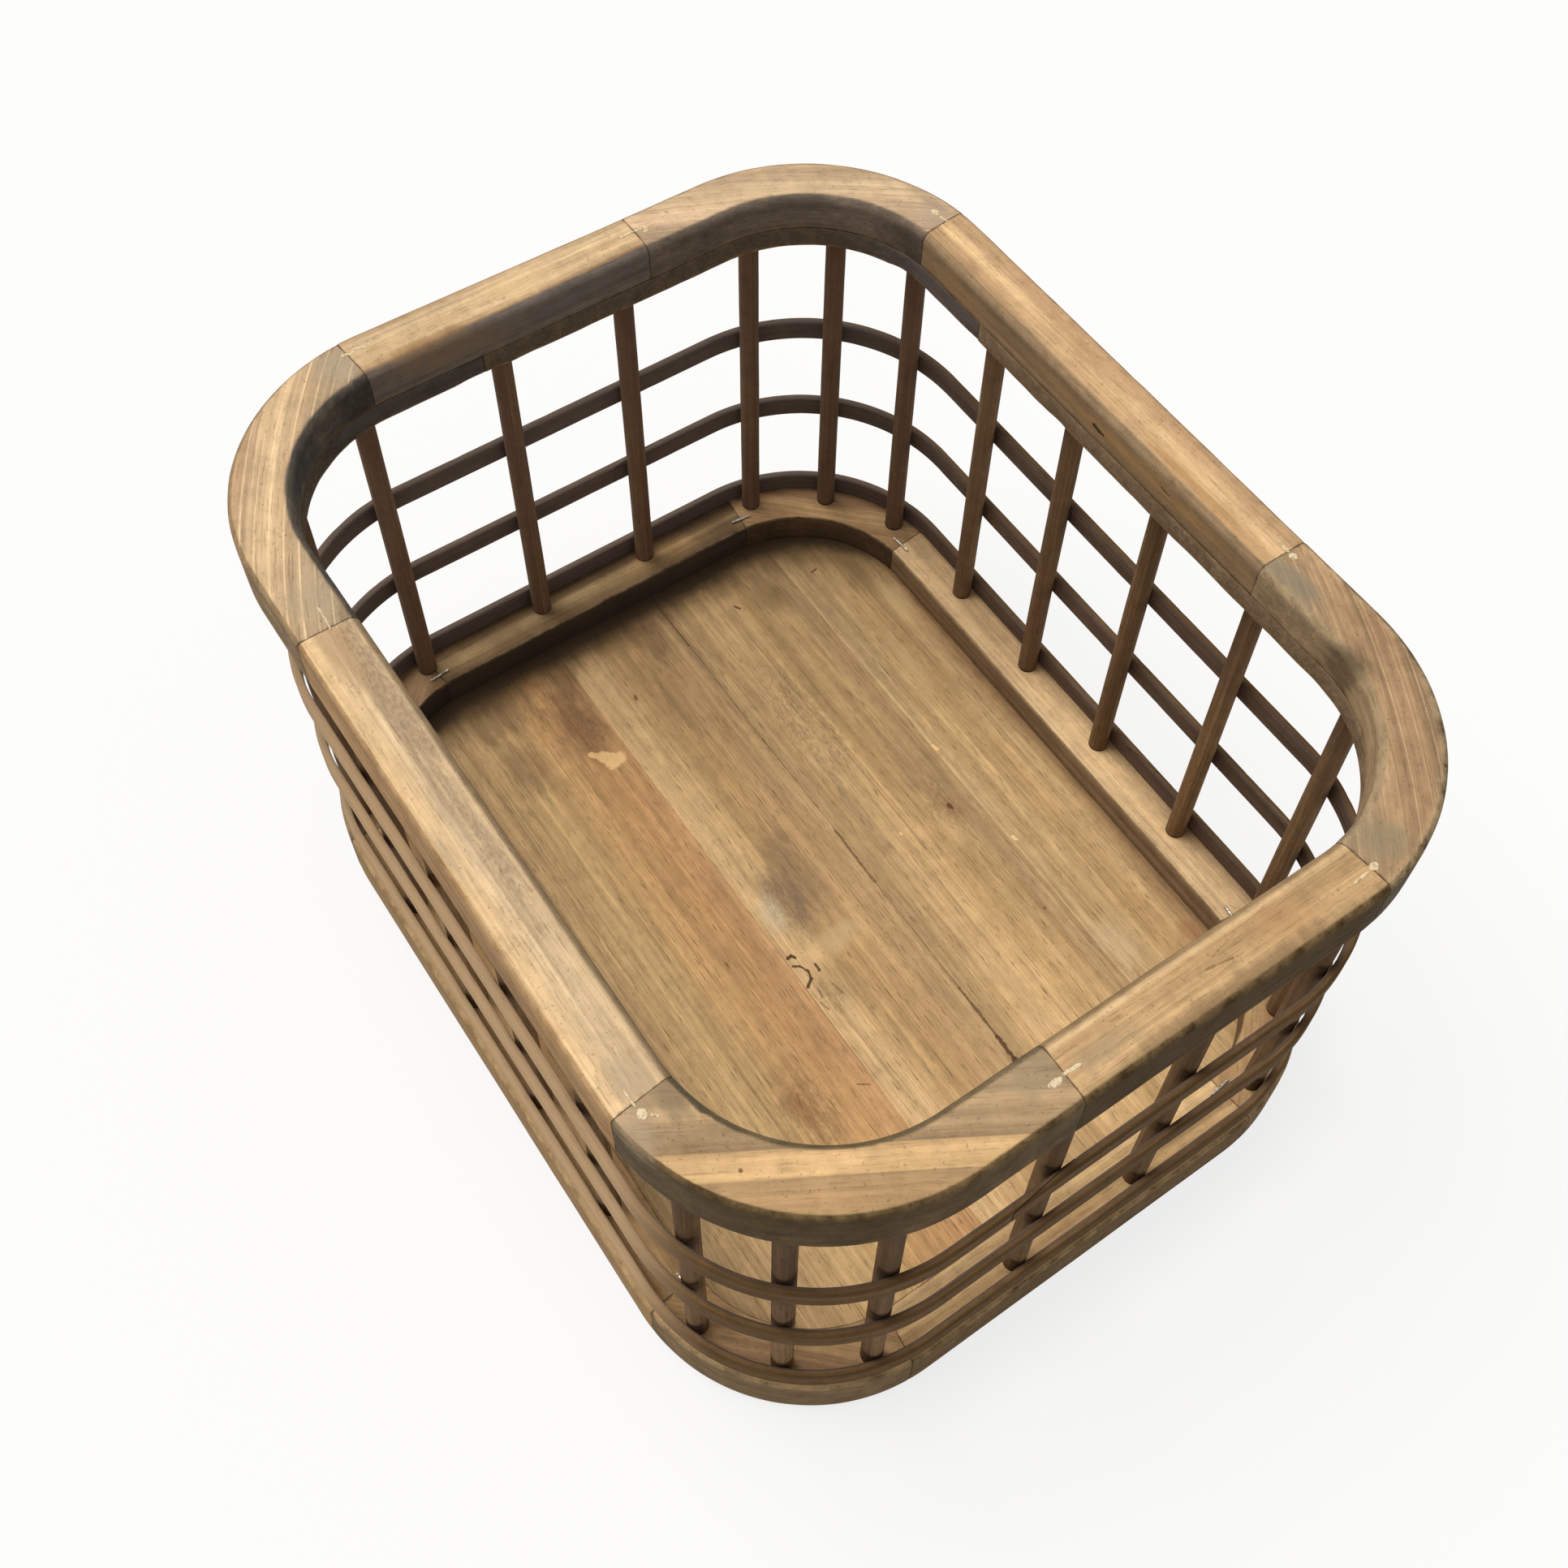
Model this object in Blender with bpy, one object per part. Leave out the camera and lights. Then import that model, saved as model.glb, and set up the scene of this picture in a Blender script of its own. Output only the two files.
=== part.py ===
# Open storage basket of jointed timber: a rim and a base, each of four rails and four corner
# blocks, held apart by round dowels, with bent hoops round the dowels and a plank floor.
# Metres, +Z up. The origin is on the ground, under the middle of the basket.

import math

import bmesh
import bpy
from mathutils import Matrix, Vector

# Plan of the rim's outer face
basket_length = 0.508
basket_width = 0.409
corner_radius = 0.106

# Heights of the base, of the open side, and of the rim
base_height = 0.040
side_height = 0.229
rim_height = 0.035

# Clearance that touching pieces keep, and how far a cutter runs past a face
fit_gap = 0.0003
cut_overrun = 0.004

# Rim: width of its timber, the step that holds the liner, and its worn edges
rim_width = 0.030
rim_step_width = 0.0073
rim_inner_round = 0.006
rim_outer_round = 0.0025
rim_lower_round = 0.003

# Base: how far it stands in from the rim, width of its timber, ledge over the floor, nosing
base_inset = 0.002
base_width = 0.0295
base_ledge = 0.009
base_lower_nosing = 0.009
base_upper_nosing = 0.003
base_inner_ease = 0.0012

# Joints: the rails run a little way round the bends, and each rim block has one long tail
rail_bend = math.radians(6)
rim_tail = 0.047

# Dowels: their axes stand in from the rim's outer face by a share of the rim's width
dowel_diameter = 0.0115
dowel_inset_share = 0.483
dowel_seat = 0.012
long_side_pitch_share = 0.23
short_side_pitch_share = 0.396
long_side_dowel_count = 4
short_side_dowel_count = 2
corner_dowel_count = 3
corner_dowel_angle = math.radians(29)

# Set by hand: how far round the walk some dowels stand from the even pitch, as shares of their
# diameter
dowel_shift_shares = {
    "front_right_1": 0.3, "front_right_2": 0.2, "back_right_3": 0.58,
    "back_1": 0.42, "back_2": 0.6, "back_3": 0.54, "back_4": 0.35,
    "back_left_2": 0.16, "back_left_3": 0.35,
    "left_1": -0.25, "left_2": -0.64, "front_left_1": -1.17,
}

# Hoops: bent laths outside the dowels, and how far each stands over the base
hoop_height = 0.014
hoop_thickness = 0.0045
hoop_round = 0.0014
hoop_scarf = 0.040
middle_hoop_lift = 0.0715
upper_hoop_lift = 0.1365
hoop_joint_sides = (2, 3, 1)
hoop_joint_share = 0.36

# Liner: bent lath in the rim's step, in four lengths
liner_height = 0.013
liner_round = 0.0012
liner_joint_long_side = 0.106
liner_joint_short_side = 0.047

# Floor planks, let in under the ledge of the base
floor_drop = 0.020
plank_thickness = 0.014
plank_gap = 0.0004
plank_width_shares = (0.189, 0.212, 0.195, 0.222, 0.182)

# Wire staples driven down across the joints of the base
staple_width = 0.012
staple_leg = 0.010
staple_wire = 0.0014
staple_inset = 0.024

# Facet counts
bend_steps = 15
round_steps = 2
dowel_facets = 16
wire_facets = 8

quarter_turn = math.radians(90)
half_turn = math.radians(180)
smooth_angle = math.radians(35)
sides = range(4)
side_names = ("front", "right", "back", "left")
corner_names = ("front_right", "back_right", "back_left", "front_left")
corner_signs = ((1, -1), (1, 1), (-1, 1), (-1, -1))

base_top = base_height
rim_bottom = base_top + side_height
rim_top = rim_bottom + rim_height
floor_top = base_top - floor_drop
floor_bottom = floor_top - plank_thickness
dowel_inset = rim_width * dowel_inset_share
hoop_inner_inset = dowel_inset - dowel_diameter / 2 - fit_gap
floor_inset = base_inset + base_width - base_ledge + fit_gap
seam_angle = fit_gap / (corner_radius - rim_width / 2)


def clear_scene():
    for item in list(bpy.data.objects):
        bpy.data.objects.remove(item, do_unlink=True)


def new_collection(name):
    group = bpy.data.collections.new(name)
    bpy.context.scene.collection.children.link(group)
    return group


def finish(name, color, roughness, metallic=0.0):
    material = bpy.data.materials.new(name)
    material.use_nodes = True
    shader = material.node_tree.nodes["Principled BSDF"]
    shader.inputs["Base Color"].default_value = (*color, 1.0)
    shader.inputs["Roughness"].default_value = roughness
    shader.inputs["Metallic"].default_value = metallic
    return material


def add_object(name, mesh, group, material=None):
    item = bpy.data.objects.new(name, mesh)
    group.objects.link(item)
    if material:
        mesh.materials.append(material)
    return item


def add_cutter(name, mesh, group):
    item = add_object(name, mesh, group)
    item.hide_render = True
    item.display_type = "WIRE"
    return item


def boolean(item, operation, tool):
    step = item.modifiers.new(tool.name, "BOOLEAN")
    step.operation = operation
    step.solver = "EXACT"
    step.object = tool


def to_mesh(bm, name, smooth=True):
    bmesh.ops.recalc_face_normals(bm, faces=bm.faces)
    mesh = bpy.data.meshes.new(name)
    bm.to_mesh(mesh)
    bm.free()
    if smooth:
        mesh.shade_smooth()
        mesh.set_sharp_from_angle(angle=smooth_angle)
    return mesh


# The plan is walked counter-clockwise. Side 0 is the front, and corner k ends side k.
# A station is the place of a section on that walk: X inward, Y backward along it, Z up.


def side_station(side, along):
    span = basket_width if side % 2 == 0 else basket_length
    turned = Matrix.Rotation(side * quarter_turn, 4, "Z")
    return turned @ Matrix.Translation((along, -span / 2, 0)) @ Matrix.Rotation(quarter_turn, 4, "Z")


def half_straight(side):
    span = basket_length if side % 2 == 0 else basket_width
    return span / 2 - corner_radius


def corner_centre(corner):
    sign_x, sign_y = corner_signs[corner % 4]
    return Vector((sign_x * half_straight(0), sign_y * half_straight(1), 0))


def bend_station(corner, angle):
    centre = Matrix.Translation(corner_centre(corner))
    turned = centre @ Matrix.Rotation(angle, 4, "Z") @ centre.inverted()
    return turned @ side_station(corner, half_straight(corner))


def bend(corner, start=0, end=quarter_turn):
    steps = max(1, round(bend_steps * (end - start) / quarter_turn))
    return [bend_station(corner, start + (end - start) * step / steps)
            for step in range(steps + 1)]


# Sections are outlines of points: how far in from the rim's outer face, and how high


def rounded(centre, start, radius, steps=round_steps):
    points = []
    for step in range(steps + 1):
        angle = start - quarter_turn * step / steps
        points.append((centre[0] + radius * math.cos(angle), centre[1] + radius * math.sin(angle)))
    return points


def rim_section():
    step_top = rim_bottom + liner_height + fit_gap
    low = rim_lower_round
    outer = rim_outer_round
    inner = rim_inner_round
    points = rounded((low, rim_bottom + low), -quarter_turn, low)
    points += rounded((outer, rim_top - outer), half_turn, outer)
    points += rounded((rim_width - inner, rim_top - inner), quarter_turn, inner, round_steps + 1)
    points.append((rim_width, step_top))
    points.append((rim_width - rim_step_width, step_top))
    points.append((rim_width - rim_step_width, rim_bottom))
    return points


def base_section():
    outer = base_inset
    inner = base_inset + base_width
    low = base_lower_nosing
    high = base_upper_nosing
    points = rounded((outer + low, low), -quarter_turn, low, round_steps + 1)
    points += rounded((outer + high, base_top - high), half_turn, high)
    points.append((inner - base_inner_ease, base_top))
    points.append((inner, base_top - base_inner_ease))
    points.append((inner, floor_top + fit_gap))
    points.append((inner - base_ledge, floor_top + fit_gap))
    points.append((inner - base_ledge, 0))
    return points


def hoop_section(lift):
    outer = hoop_inner_inset - hoop_thickness + hoop_round
    low = base_top + lift
    high = low + hoop_height
    points = rounded((outer, low + hoop_round), -quarter_turn, hoop_round)
    points += rounded((outer, high - hoop_round), half_turn, hoop_round)
    points.append((hoop_inner_inset, high))
    points.append((hoop_inner_inset, low))
    return points


def liner_section():
    outer = rim_width - rim_step_width + fit_gap
    low = rim_bottom
    high = low + liner_height
    points = [(outer, low), (outer, high), (rim_width, high)]
    points.append((rim_width, low + liner_round))
    points.append((rim_width - liner_round, low))
    return points


# A piece is its section extruded from station to station


def sweep(section, stations):
    bm = bmesh.new()
    first = [bm.verts.new(stations[0] @ Vector((inset, 0, height))) for inset, height in section]
    face = bm.faces.new(first)
    for before, after in zip(stations, stations[1:]):
        result = bmesh.ops.extrude_face_region(bm, geom=[face, *face.edges, *face.verts])
        moved = [part for part in result["geom"] if isinstance(part, bmesh.types.BMVert)]
        face = next(part for part in result["geom"] if isinstance(part, bmesh.types.BMFace))
        bmesh.ops.transform(bm, matrix=after @ before.inverted(), verts=moved)
    return bm, first, moved


def swept_mesh(name, section, stations):
    bm, _, _ = sweep(section, stations)
    return to_mesh(bm, name)


# One lath bent right round, with both ends sheared so that they close in a long scarf
def hoop_mesh(name, section, side):
    start = 2 * half_straight(side) * (hoop_joint_share - 1 / 2)
    seam = fit_gap * math.hypot(hoop_scarf, hoop_thickness) / hoop_thickness
    stations = [side_station(side, start)]
    for corner in sides:
        stations += bend(side + corner)
    stations.append(side_station(side, start - seam))
    bm, first, last = sweep(section, stations)
    for ring, station in ((first, stations[0]), (last, stations[-1])):
        for vertex in ring:
            place = station.inverted() @ vertex.co
            place.y -= hoop_scarf * (hoop_inner_inset - place.x) / hoop_thickness
            vertex.co = station @ place
    return to_mesh(bm, name)


# Dowels stand on the straight sides and round each bend


def dowel_shift(name):
    return dowel_diameter * dowel_shift_shares.get(name, 0)


def dowel_stations():
    found = []
    for side in sides:
        count = long_side_dowel_count if side % 2 == 0 else short_side_dowel_count
        share = long_side_pitch_share if side % 2 == 0 else short_side_pitch_share
        pitch = 2 * half_straight(side) * share
        for index in range(count):
            name = f"{side_names[side]}_{index + 1}"
            along = pitch * (index - (count - 1) / 2) + dowel_shift(name)
            found.append((name, side_station(side, along)))
        for index in range(corner_dowel_count):
            name = f"{corner_names[side]}_{index + 1}"
            angle = quarter_turn / 2 + corner_dowel_angle * (index - (corner_dowel_count - 1) / 2)
            angle += dowel_shift(name) / (corner_radius - dowel_inset)
            found.append((name, bend_station(side, angle)))
    return found


def dowel_places():
    return [(name, station @ Vector((dowel_inset, 0, 0))) for name, station in dowel_stations()]


def add_cylinder(bm, place, low, high, radius, facets):
    middle = Matrix.Translation((place.x, place.y, (low + high) / 2))
    bmesh.ops.create_cone(bm, cap_ends=True, segments=facets, radius1=radius, radius2=radius,
                          depth=high - low, matrix=middle)


def dowel_mesh():
    bm = bmesh.new()
    foot = base_top - dowel_seat + fit_gap
    head = rim_bottom + dowel_seat - fit_gap
    add_cylinder(bm, Vector(), foot, head, dowel_diameter / 2, dowel_facets)
    return to_mesh(bm, "dowel")


def seat_cutter(group):
    bm = bmesh.new()
    radius = dowel_diameter / 2 + fit_gap
    for _, place in dowel_places():
        add_cylinder(bm, place, base_top - dowel_seat, rim_bottom + dowel_seat, radius, dowel_facets)
    return add_cutter("dowel_seats", to_mesh(bm, "dowel_seats"), group)


# Staples stand across the joints of the base, which lie a little way round each bend


def staple_stations():
    found = []
    for side in sides:
        turns = (rail_bend + seam_angle / 2, quarter_turn - rail_bend - seam_angle / 2)
        for index, angle in enumerate(turns):
            found.append((f"{corner_names[side]}_{index + 1}", bend_station(side, angle)))
    return found


# A bent wire: a crown that lies on the base and two legs that go down into it
def staple_mesh():
    curve = bpy.data.curves.new("bent_wire", "CURVE")
    curve.dimensions = "3D"
    curve.bevel_depth = staple_wire / 2
    curve.bevel_resolution = wire_facets // 2 - 2
    curve.use_fill_caps = True
    crown = base_top + fit_gap + staple_wire / 2
    foot = base_top - staple_leg
    reach = staple_width / 2
    route = ((-reach, foot), (-reach, crown), (reach, crown), (reach, foot))
    spline = curve.splines.new("POLY")
    spline.points.add(len(route) - 1)
    for point, (along, height) in zip(spline.points, route):
        point.co = (staple_inset, along, height, 1)
    wire = bpy.data.objects.new("bent_wire", curve)
    bpy.context.scene.collection.objects.link(wire)
    drawn = wire.evaluated_get(bpy.context.evaluated_depsgraph_get())
    bm = bmesh.new()
    bm.from_mesh(bpy.data.meshes.new_from_object(drawn))
    bpy.data.objects.remove(wire, do_unlink=True)
    bmesh.ops.remove_doubles(bm, verts=bm.verts, dist=fit_gap / 10)
    return to_mesh(bm, "staple")


def staple_cutter(group):
    bm = bmesh.new()
    radius = staple_wire / 2 + fit_gap
    foot = base_top - staple_leg - fit_gap
    for _, station in staple_stations():
        for reach in (-staple_width / 2, staple_width / 2):
            place = station @ Vector((staple_inset, reach, 0))
            add_cylinder(bm, place, foot, base_top + cut_overrun, radius, wire_facets)
    return add_cutter("staple_holes", to_mesh(bm, "staple_holes"), group)


# Floor: planks along the basket, clipped to the rounded ledge that they lie under


def plank_edges():
    width = basket_width - 2 * floor_inset
    edges = [-width / 2]
    for share in plank_width_shares:
        edges.append(edges[-1] + width * share / sum(plank_width_shares))
    return edges


def floor_blank(group):
    bm = bmesh.new()
    corners = []
    for corner in sides:
        for station in bend(corner):
            corners.append(bm.verts.new(station @ Vector((floor_inset, 0, floor_bottom))))
    face = bm.faces.new(corners)
    result = bmesh.ops.extrude_face_region(bm, geom=[face])
    moved = [part for part in result["geom"] if isinstance(part, bmesh.types.BMVert)]
    bmesh.ops.translate(bm, verts=moved, vec=(0, 0, plank_thickness))
    return add_cutter("floor_outline", to_mesh(bm, "floor_outline"), group)


def plank_mesh(name, low, high):
    bm = bmesh.new()
    middle = Matrix.Translation((0, (low + high) / 2, (floor_top + floor_bottom) / 2))
    size = (basket_length, high - low, plank_thickness + 2 * cut_overrun, 1)
    bmesh.ops.create_cube(bm, size=1, matrix=middle @ Matrix.Diagonal(size))
    return to_mesh(bm, name, smooth=False)


def build_rim(group, seats, material):
    section = rim_section()
    for side in sides:
        tail_end = side_station(side, rim_tail - half_straight(side) + fit_gap / 2)
        name = f"rim_rail_{side_names[side]}"
        mesh = swept_mesh(name, section, [tail_end] + bend(side, 0, rail_bend))
        rail = add_object(name, mesh, group, material)
        tail = side_station(side + 1, rim_tail - half_straight(side + 1) - fit_gap / 2)
        name = f"rim_corner_{corner_names[side]}"
        mesh = swept_mesh(name, section, bend(side, rail_bend + seam_angle) + [tail])
        block = add_object(name, mesh, group, material)
        boolean(rail, "DIFFERENCE", seats)
        boolean(block, "DIFFERENCE", seats)


def build_base(group, cutters, material):
    section = base_section()
    lead = rail_bend + seam_angle
    for side in sides:
        stations = bend(side - 1, quarter_turn - rail_bend) + bend(side, 0, rail_bend)
        name = f"base_rail_{side_names[side]}"
        rail = add_object(name, swept_mesh(name, section, stations), group, material)
        name = f"base_corner_{corner_names[side]}"
        mesh = swept_mesh(name, section, bend(side, lead, quarter_turn - lead))
        block = add_object(name, mesh, group, material)
        for tool in cutters:
            boolean(rail, "DIFFERENCE", tool)
            boolean(block, "DIFFERENCE", tool)


def build_dowels(group, material):
    mesh = dowel_mesh()
    mesh.materials.append(material)
    for name, place in dowel_places():
        dowel = add_object(f"dowel_{name}", mesh, group)
        dowel.location = place


def build_hoops(group, material):
    lifts = {"lower": fit_gap, "middle": middle_hoop_lift, "upper": upper_hoop_lift}
    for (place, lift), side in zip(lifts.items(), hoop_joint_sides):
        name = f"hoop_{place}"
        add_object(name, hoop_mesh(name, hoop_section(lift), side), group, material)


def build_liner(group, material):
    section = liner_section()
    joints = (liner_joint_long_side, liner_joint_short_side)
    for side in sides:
        start = side_station(side, joints[side % 2] + fit_gap / 2)
        end = side_station(side + 1, joints[(side + 1) % 2] - fit_gap / 2)
        name = f"liner_{corner_names[side]}"
        mesh = swept_mesh(name, section, [start] + bend(side) + [end])
        add_object(name, mesh, group, material)


def build_floor(group, outline, material):
    for index, (low, high) in enumerate(zip(plank_edges(), plank_edges()[1:])):
        name = f"floor_plank_{index + 1}"
        mesh = plank_mesh(name, low + plank_gap / 2, high - plank_gap / 2)
        plank = add_object(name, mesh, group, material)
        boolean(plank, "INTERSECT", outline)


def build_staples(group, material):
    mesh = staple_mesh()
    mesh.materials.append(material)
    for name, station in staple_stations():
        staple = add_object(f"staple_{name}", mesh, group)
        staple.matrix_world = station


def main():
    clear_scene()
    basket = new_collection("storage_basket")
    cutters = new_collection("cutters")
    rim_wood = finish("rim_wood", (0.60, 0.42, 0.24), 0.55)
    base_wood = finish("base_wood", (0.50, 0.35, 0.19), 0.6)
    dowel_wood = finish("dowel_wood", (0.22, 0.14, 0.09), 0.6)
    hoop_wood = finish("hoop_wood", (0.25, 0.17, 0.11), 0.6)
    liner_wood = finish("liner_wood", (0.20, 0.14, 0.09), 0.6)
    floor_wood = finish("floor_wood", (0.52, 0.36, 0.19), 0.6)
    steel = finish("staple_steel", (0.55, 0.52, 0.46), 0.45, 1.0)

    seats = seat_cutter(cutters)
    build_rim(basket, seats, rim_wood)
    build_base(basket, (seats, staple_cutter(cutters)), base_wood)
    build_dowels(basket, dowel_wood)
    build_hoops(basket, hoop_wood)
    build_liner(basket, liner_wood)
    build_floor(basket, floor_blank(cutters), floor_wood)
    build_staples(basket, steel)


main()
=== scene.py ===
# Storage basket of jointed timber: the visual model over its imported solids.
# Metres, +Z up. The basket stands on the ground round the origin, its long sides along X.

import math

import bpy
from mathutils import Matrix, Vector, noise


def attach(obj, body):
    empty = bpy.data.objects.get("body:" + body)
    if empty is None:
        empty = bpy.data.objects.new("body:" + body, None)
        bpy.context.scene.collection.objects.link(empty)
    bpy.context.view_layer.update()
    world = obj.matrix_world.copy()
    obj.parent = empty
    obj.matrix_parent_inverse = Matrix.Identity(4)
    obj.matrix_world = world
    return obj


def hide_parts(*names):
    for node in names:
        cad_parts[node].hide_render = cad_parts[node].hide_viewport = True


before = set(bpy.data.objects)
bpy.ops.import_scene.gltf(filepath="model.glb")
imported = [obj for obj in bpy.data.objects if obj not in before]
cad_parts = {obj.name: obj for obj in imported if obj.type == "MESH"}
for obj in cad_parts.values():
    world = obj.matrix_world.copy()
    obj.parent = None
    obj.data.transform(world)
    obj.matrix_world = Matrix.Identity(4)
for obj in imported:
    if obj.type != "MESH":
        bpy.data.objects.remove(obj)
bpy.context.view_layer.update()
scene = bpy.context.scene
print("frame loaded:", len(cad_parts), "nodes")

# The plan that every piece follows, as in the part. "middle" is the inset of the timber's middle line.
plan = {"length": 0.508, "width": 0.409, "corner": 0.106, "middle": 0.015, "gap": 0.0003,
        "baseTop": 0.040, "rimBottom": 0.269, "rimTop": 0.304, "floorTop": 0.020}
quarter = math.radians(90)
sideNames = ("front", "right", "back", "left")
cornerNames = ("front_right", "back_right", "back_left", "front_left")
cornerSigns = ((1, -1), (1, 1), (-1, 1), (-1, -1))


# The walk round the plan, counter-clockwise. Side 0 is the front, and corner k ends side k.
# A station has X inward, Y backward along the walk and Z up.

def sideStation(side, along):
    span = plan["width"] if side % 2 == 0 else plan["length"]
    turned = Matrix.Rotation(side * quarter, 4, "Z")
    return turned @ Matrix.Translation((along, -span / 2, 0)) @ Matrix.Rotation(quarter, 4, "Z")


def halfStraight(side):
    span = plan["length"] if side % 2 == 0 else plan["width"]
    return span / 2 - plan["corner"]


def bendStation(corner, angle):
    signX, signY = cornerSigns[corner % 4]
    centre = Matrix.Translation((signX * halfStraight(0), signY * halfStraight(1), 0))
    turned = centre @ Matrix.Rotation(angle, 4, "Z") @ centre.inverted()
    return turned @ sideStation(corner, halfStraight(corner))


# A path is a list of segments: ("side", number, start, end) in metres or ("bend", number, start, end) in radians
def segmentLength(segment):
    kind, _, start, end = segment
    return end - start if kind == "side" else (end - start) * (plan["corner"] - plan["middle"])


def stationOn(path, distance):
    for segment in path:
        kind, number, start, end = segment
        length = segmentLength(segment)
        if distance <= length or segment is path[-1]:
            value = start + (end - start) * min(1, distance / length)
            return sideStation(number, value) if kind == "side" else bendStation(number, value)
        distance -= length


def stationsAlong(path, step, endSteps=(0, 0.0004, 0.001, 0.0022)):
    total = sum(segmentLength(segment) for segment in path)
    lead = endSteps[-1]
    count = max(2, round((total - 2 * lead) / step))
    distances = list(endSteps[:-1])
    distances += [lead + (total - 2 * lead) * i / count for i in range(count + 1)]
    distances += [total - s for s in reversed(endSteps[:-1])]
    return [(d, min(d, total - d), stationOn(path, d)) for d in distances]


# A section is a list of corners: inset, height, round, wear. This puts points all round it, each with
# its inward direction and how near it is to a worn arris. The counts follow the rounds of "like", so
# that two outlines can be blended.
def outlineOf(corners, step, like):
    points = []
    for i, (x, z, radius, wear) in enumerate(corners):
        here, before = Vector((x, z)), Vector(corners[i - 1][:2])
        nextCorner = corners[(i + 1) % len(corners)]
        after = Vector(nextCorner[:2])
        start = here + (before - here).normalized() * radius
        end = here + (after - here).normalized() * radius
        bits = max(2, round(like[i][2] * 1.6 / 0.0011))
        for s in range(bits + 1):
            t = s / bits
            point = start * (1 - t) ** 2 + here * (2 * t * (1 - t)) + end * t ** 2
            points.append((point, wear * (1 - 0.4 * abs(2 * t - 1))))
        flatEnd = after + (here - after).normalized() * nextCorner[2]
        length = (flatEnd - end).length
        bits = max(1, round((after - here).length * 0.8 / step))
        for s in range(1, bits):
            t = s / bits
            near = max(0.6 * wear * math.exp(-t * length / 0.0018),
                       0.6 * nextCorner[3] * math.exp(-(1 - t) * length / 0.0018))
            points.append((end.lerp(flatEnd, t), near))
    area = sum(a[0].x * b[0].y - b[0].x * a[0].y for a, b in zip(points, points[1:] + points[:1]))
    outline = []
    for i, (point, edge) in enumerate(points):
        along = points[(i + 1) % len(points)][0] - points[i - 1][0]
        inward = Vector((-along.y, along.x)).normalized() * (1 if area > 0 else -1)
        outline.append((point.x, point.y, inward.x, inward.y, edge))
    return outline


def addAttributes(mesh, **values):
    for name, items in values.items():
        vectors = hasattr(items[0], "__len__")
        layer = mesh.attributes.new(name, "FLOAT_VECTOR" if vectors else "FLOAT", "POINT")
        if vectors:
            items = [number for item in items for number in item]
        layer.data.foreach_set("vector" if vectors else "value", items)


def linked(name, data):
    item = bpy.data.objects.new(name, data)
    scene.collection.objects.link(item)
    return item


def settle(piece, nodes):
    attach(piece, "root")
    if nodes:
        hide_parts(*nodes)


def addPiece(name, vertices, faces, material, slot, **attributes):
    mesh = bpy.data.meshes.new(name)
    mesh.from_pydata(vertices, [], faces)
    mesh.update()
    mesh.shade_smooth()
    mesh.set_sharp_from_angle(angle=math.radians(50))
    mesh.materials.append(material)
    addAttributes(mesh, **attributes)
    settle(linked(name, mesh), [name])


# How worn a swept piece is: depths in metres, all of them inward
timber = {"step": 0.003, "wave": 0.0003, "arris": 0.0003, "chip": 0.0004, "endWear": 0.0002}


def sweptPiece(name, corners, path, boardStation, material, slot, wear={}, drop=0.0, bow=0.0, lastCorners=None):
    look = {**timber, **wear}
    lastCorners = lastCorners or corners
    widest = [max(a, b, key=lambda corner: corner[2]) for a, b in zip(corners, lastCorners)]
    shift = Vector((sum(map(ord, name)) % 97 * 3.7, 11.3 * (sum(map(ord, name)) % 13), 0))
    outline = outlineOf(corners, look["step"], widest)
    lastOutline = outlineOf(lastCorners, look["step"], widest)
    toBoard = boardStation.inverted()
    grainWay = (boardStation.to_3x3() @ Vector((0, -1, 0))).normalized()
    vertices, board, edges, facing, joints = [], [], [], [], []
    stations = stationsAlong(path, look["step"])
    for distance, toEnd, station in stations:
        share = distance / stations[-1][0]
        for first, last in zip(outline, lastOutline):
            inset, height, inX, inZ, edge = (a + (b - a) * share for a, b in zip(first, last))
            spot = Vector((distance, inset, height))
            depth = look["wave"] * (0.5 + 0.5 * noise.noise(spot * 12 + shift))
            depth += edge * look["arris"] * (0.5 + 0.5 * noise.noise(spot * 75 + shift))
            bite = max(0, noise.noise(Vector((distance * 42, inset * 60, height * 60)) + shift) - 0.35)
            depth += edge * look["chip"] * bite * 2.2
            depth += look["endWear"] * math.exp(-toEnd / 0.0007) * (0.7 + 0.6 * noise.noise(spot * 160 + shift))
            if inZ < -0.3:
                depth += drop
            place = station @ Vector((inset + inX * depth, 0, height + inZ * depth))
            vertices.append(place)
            onBoard = toBoard @ place
            board.append((-onBoard.y + shift.x, onBoard.x - bow * onBoard.y ** 2, onBoard.z))
            joints.append(toEnd)
            edges.append(edge)
            facing.append(inX)
    ring, endRow = len(outline), len(vertices) - len(outline)
    faces = []
    for row in range(0, endRow, ring):
        for i in range(ring):
            a, b = row + i, row + (i + 1) % ring
            faces.append((a, b, b + ring, a + ring))
    faces += [tuple(range(ring - 1, -1, -1)), tuple(range(endRow, endRow + ring))]
    volume = sum(a.cross(b).dot(c) + a.cross(c).dot(d)
                 for a, b, c, d in ([vertices[i] for i in face] for face in faces[:-2]))
    if volume < 0:
        faces = [tuple(reversed(face)) for face in faces]
    addPiece(name, vertices, faces, material, slot, board=board, grain=[grainWay] * len(vertices),
             edge=edges, facing=facing, toEnd=joints)


def rgb(red, green, blue):
    # a colour as it is seen on a screen, made linear
    return tuple((c / 255 / 12.92) if c <= 10 else ((c / 255 + 0.055) / 1.055) ** 2.4
                 for c in (red, green, blue)) + (1.0,)


# The node tree that the functions below add to
canvas = {"tree": None}


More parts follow.
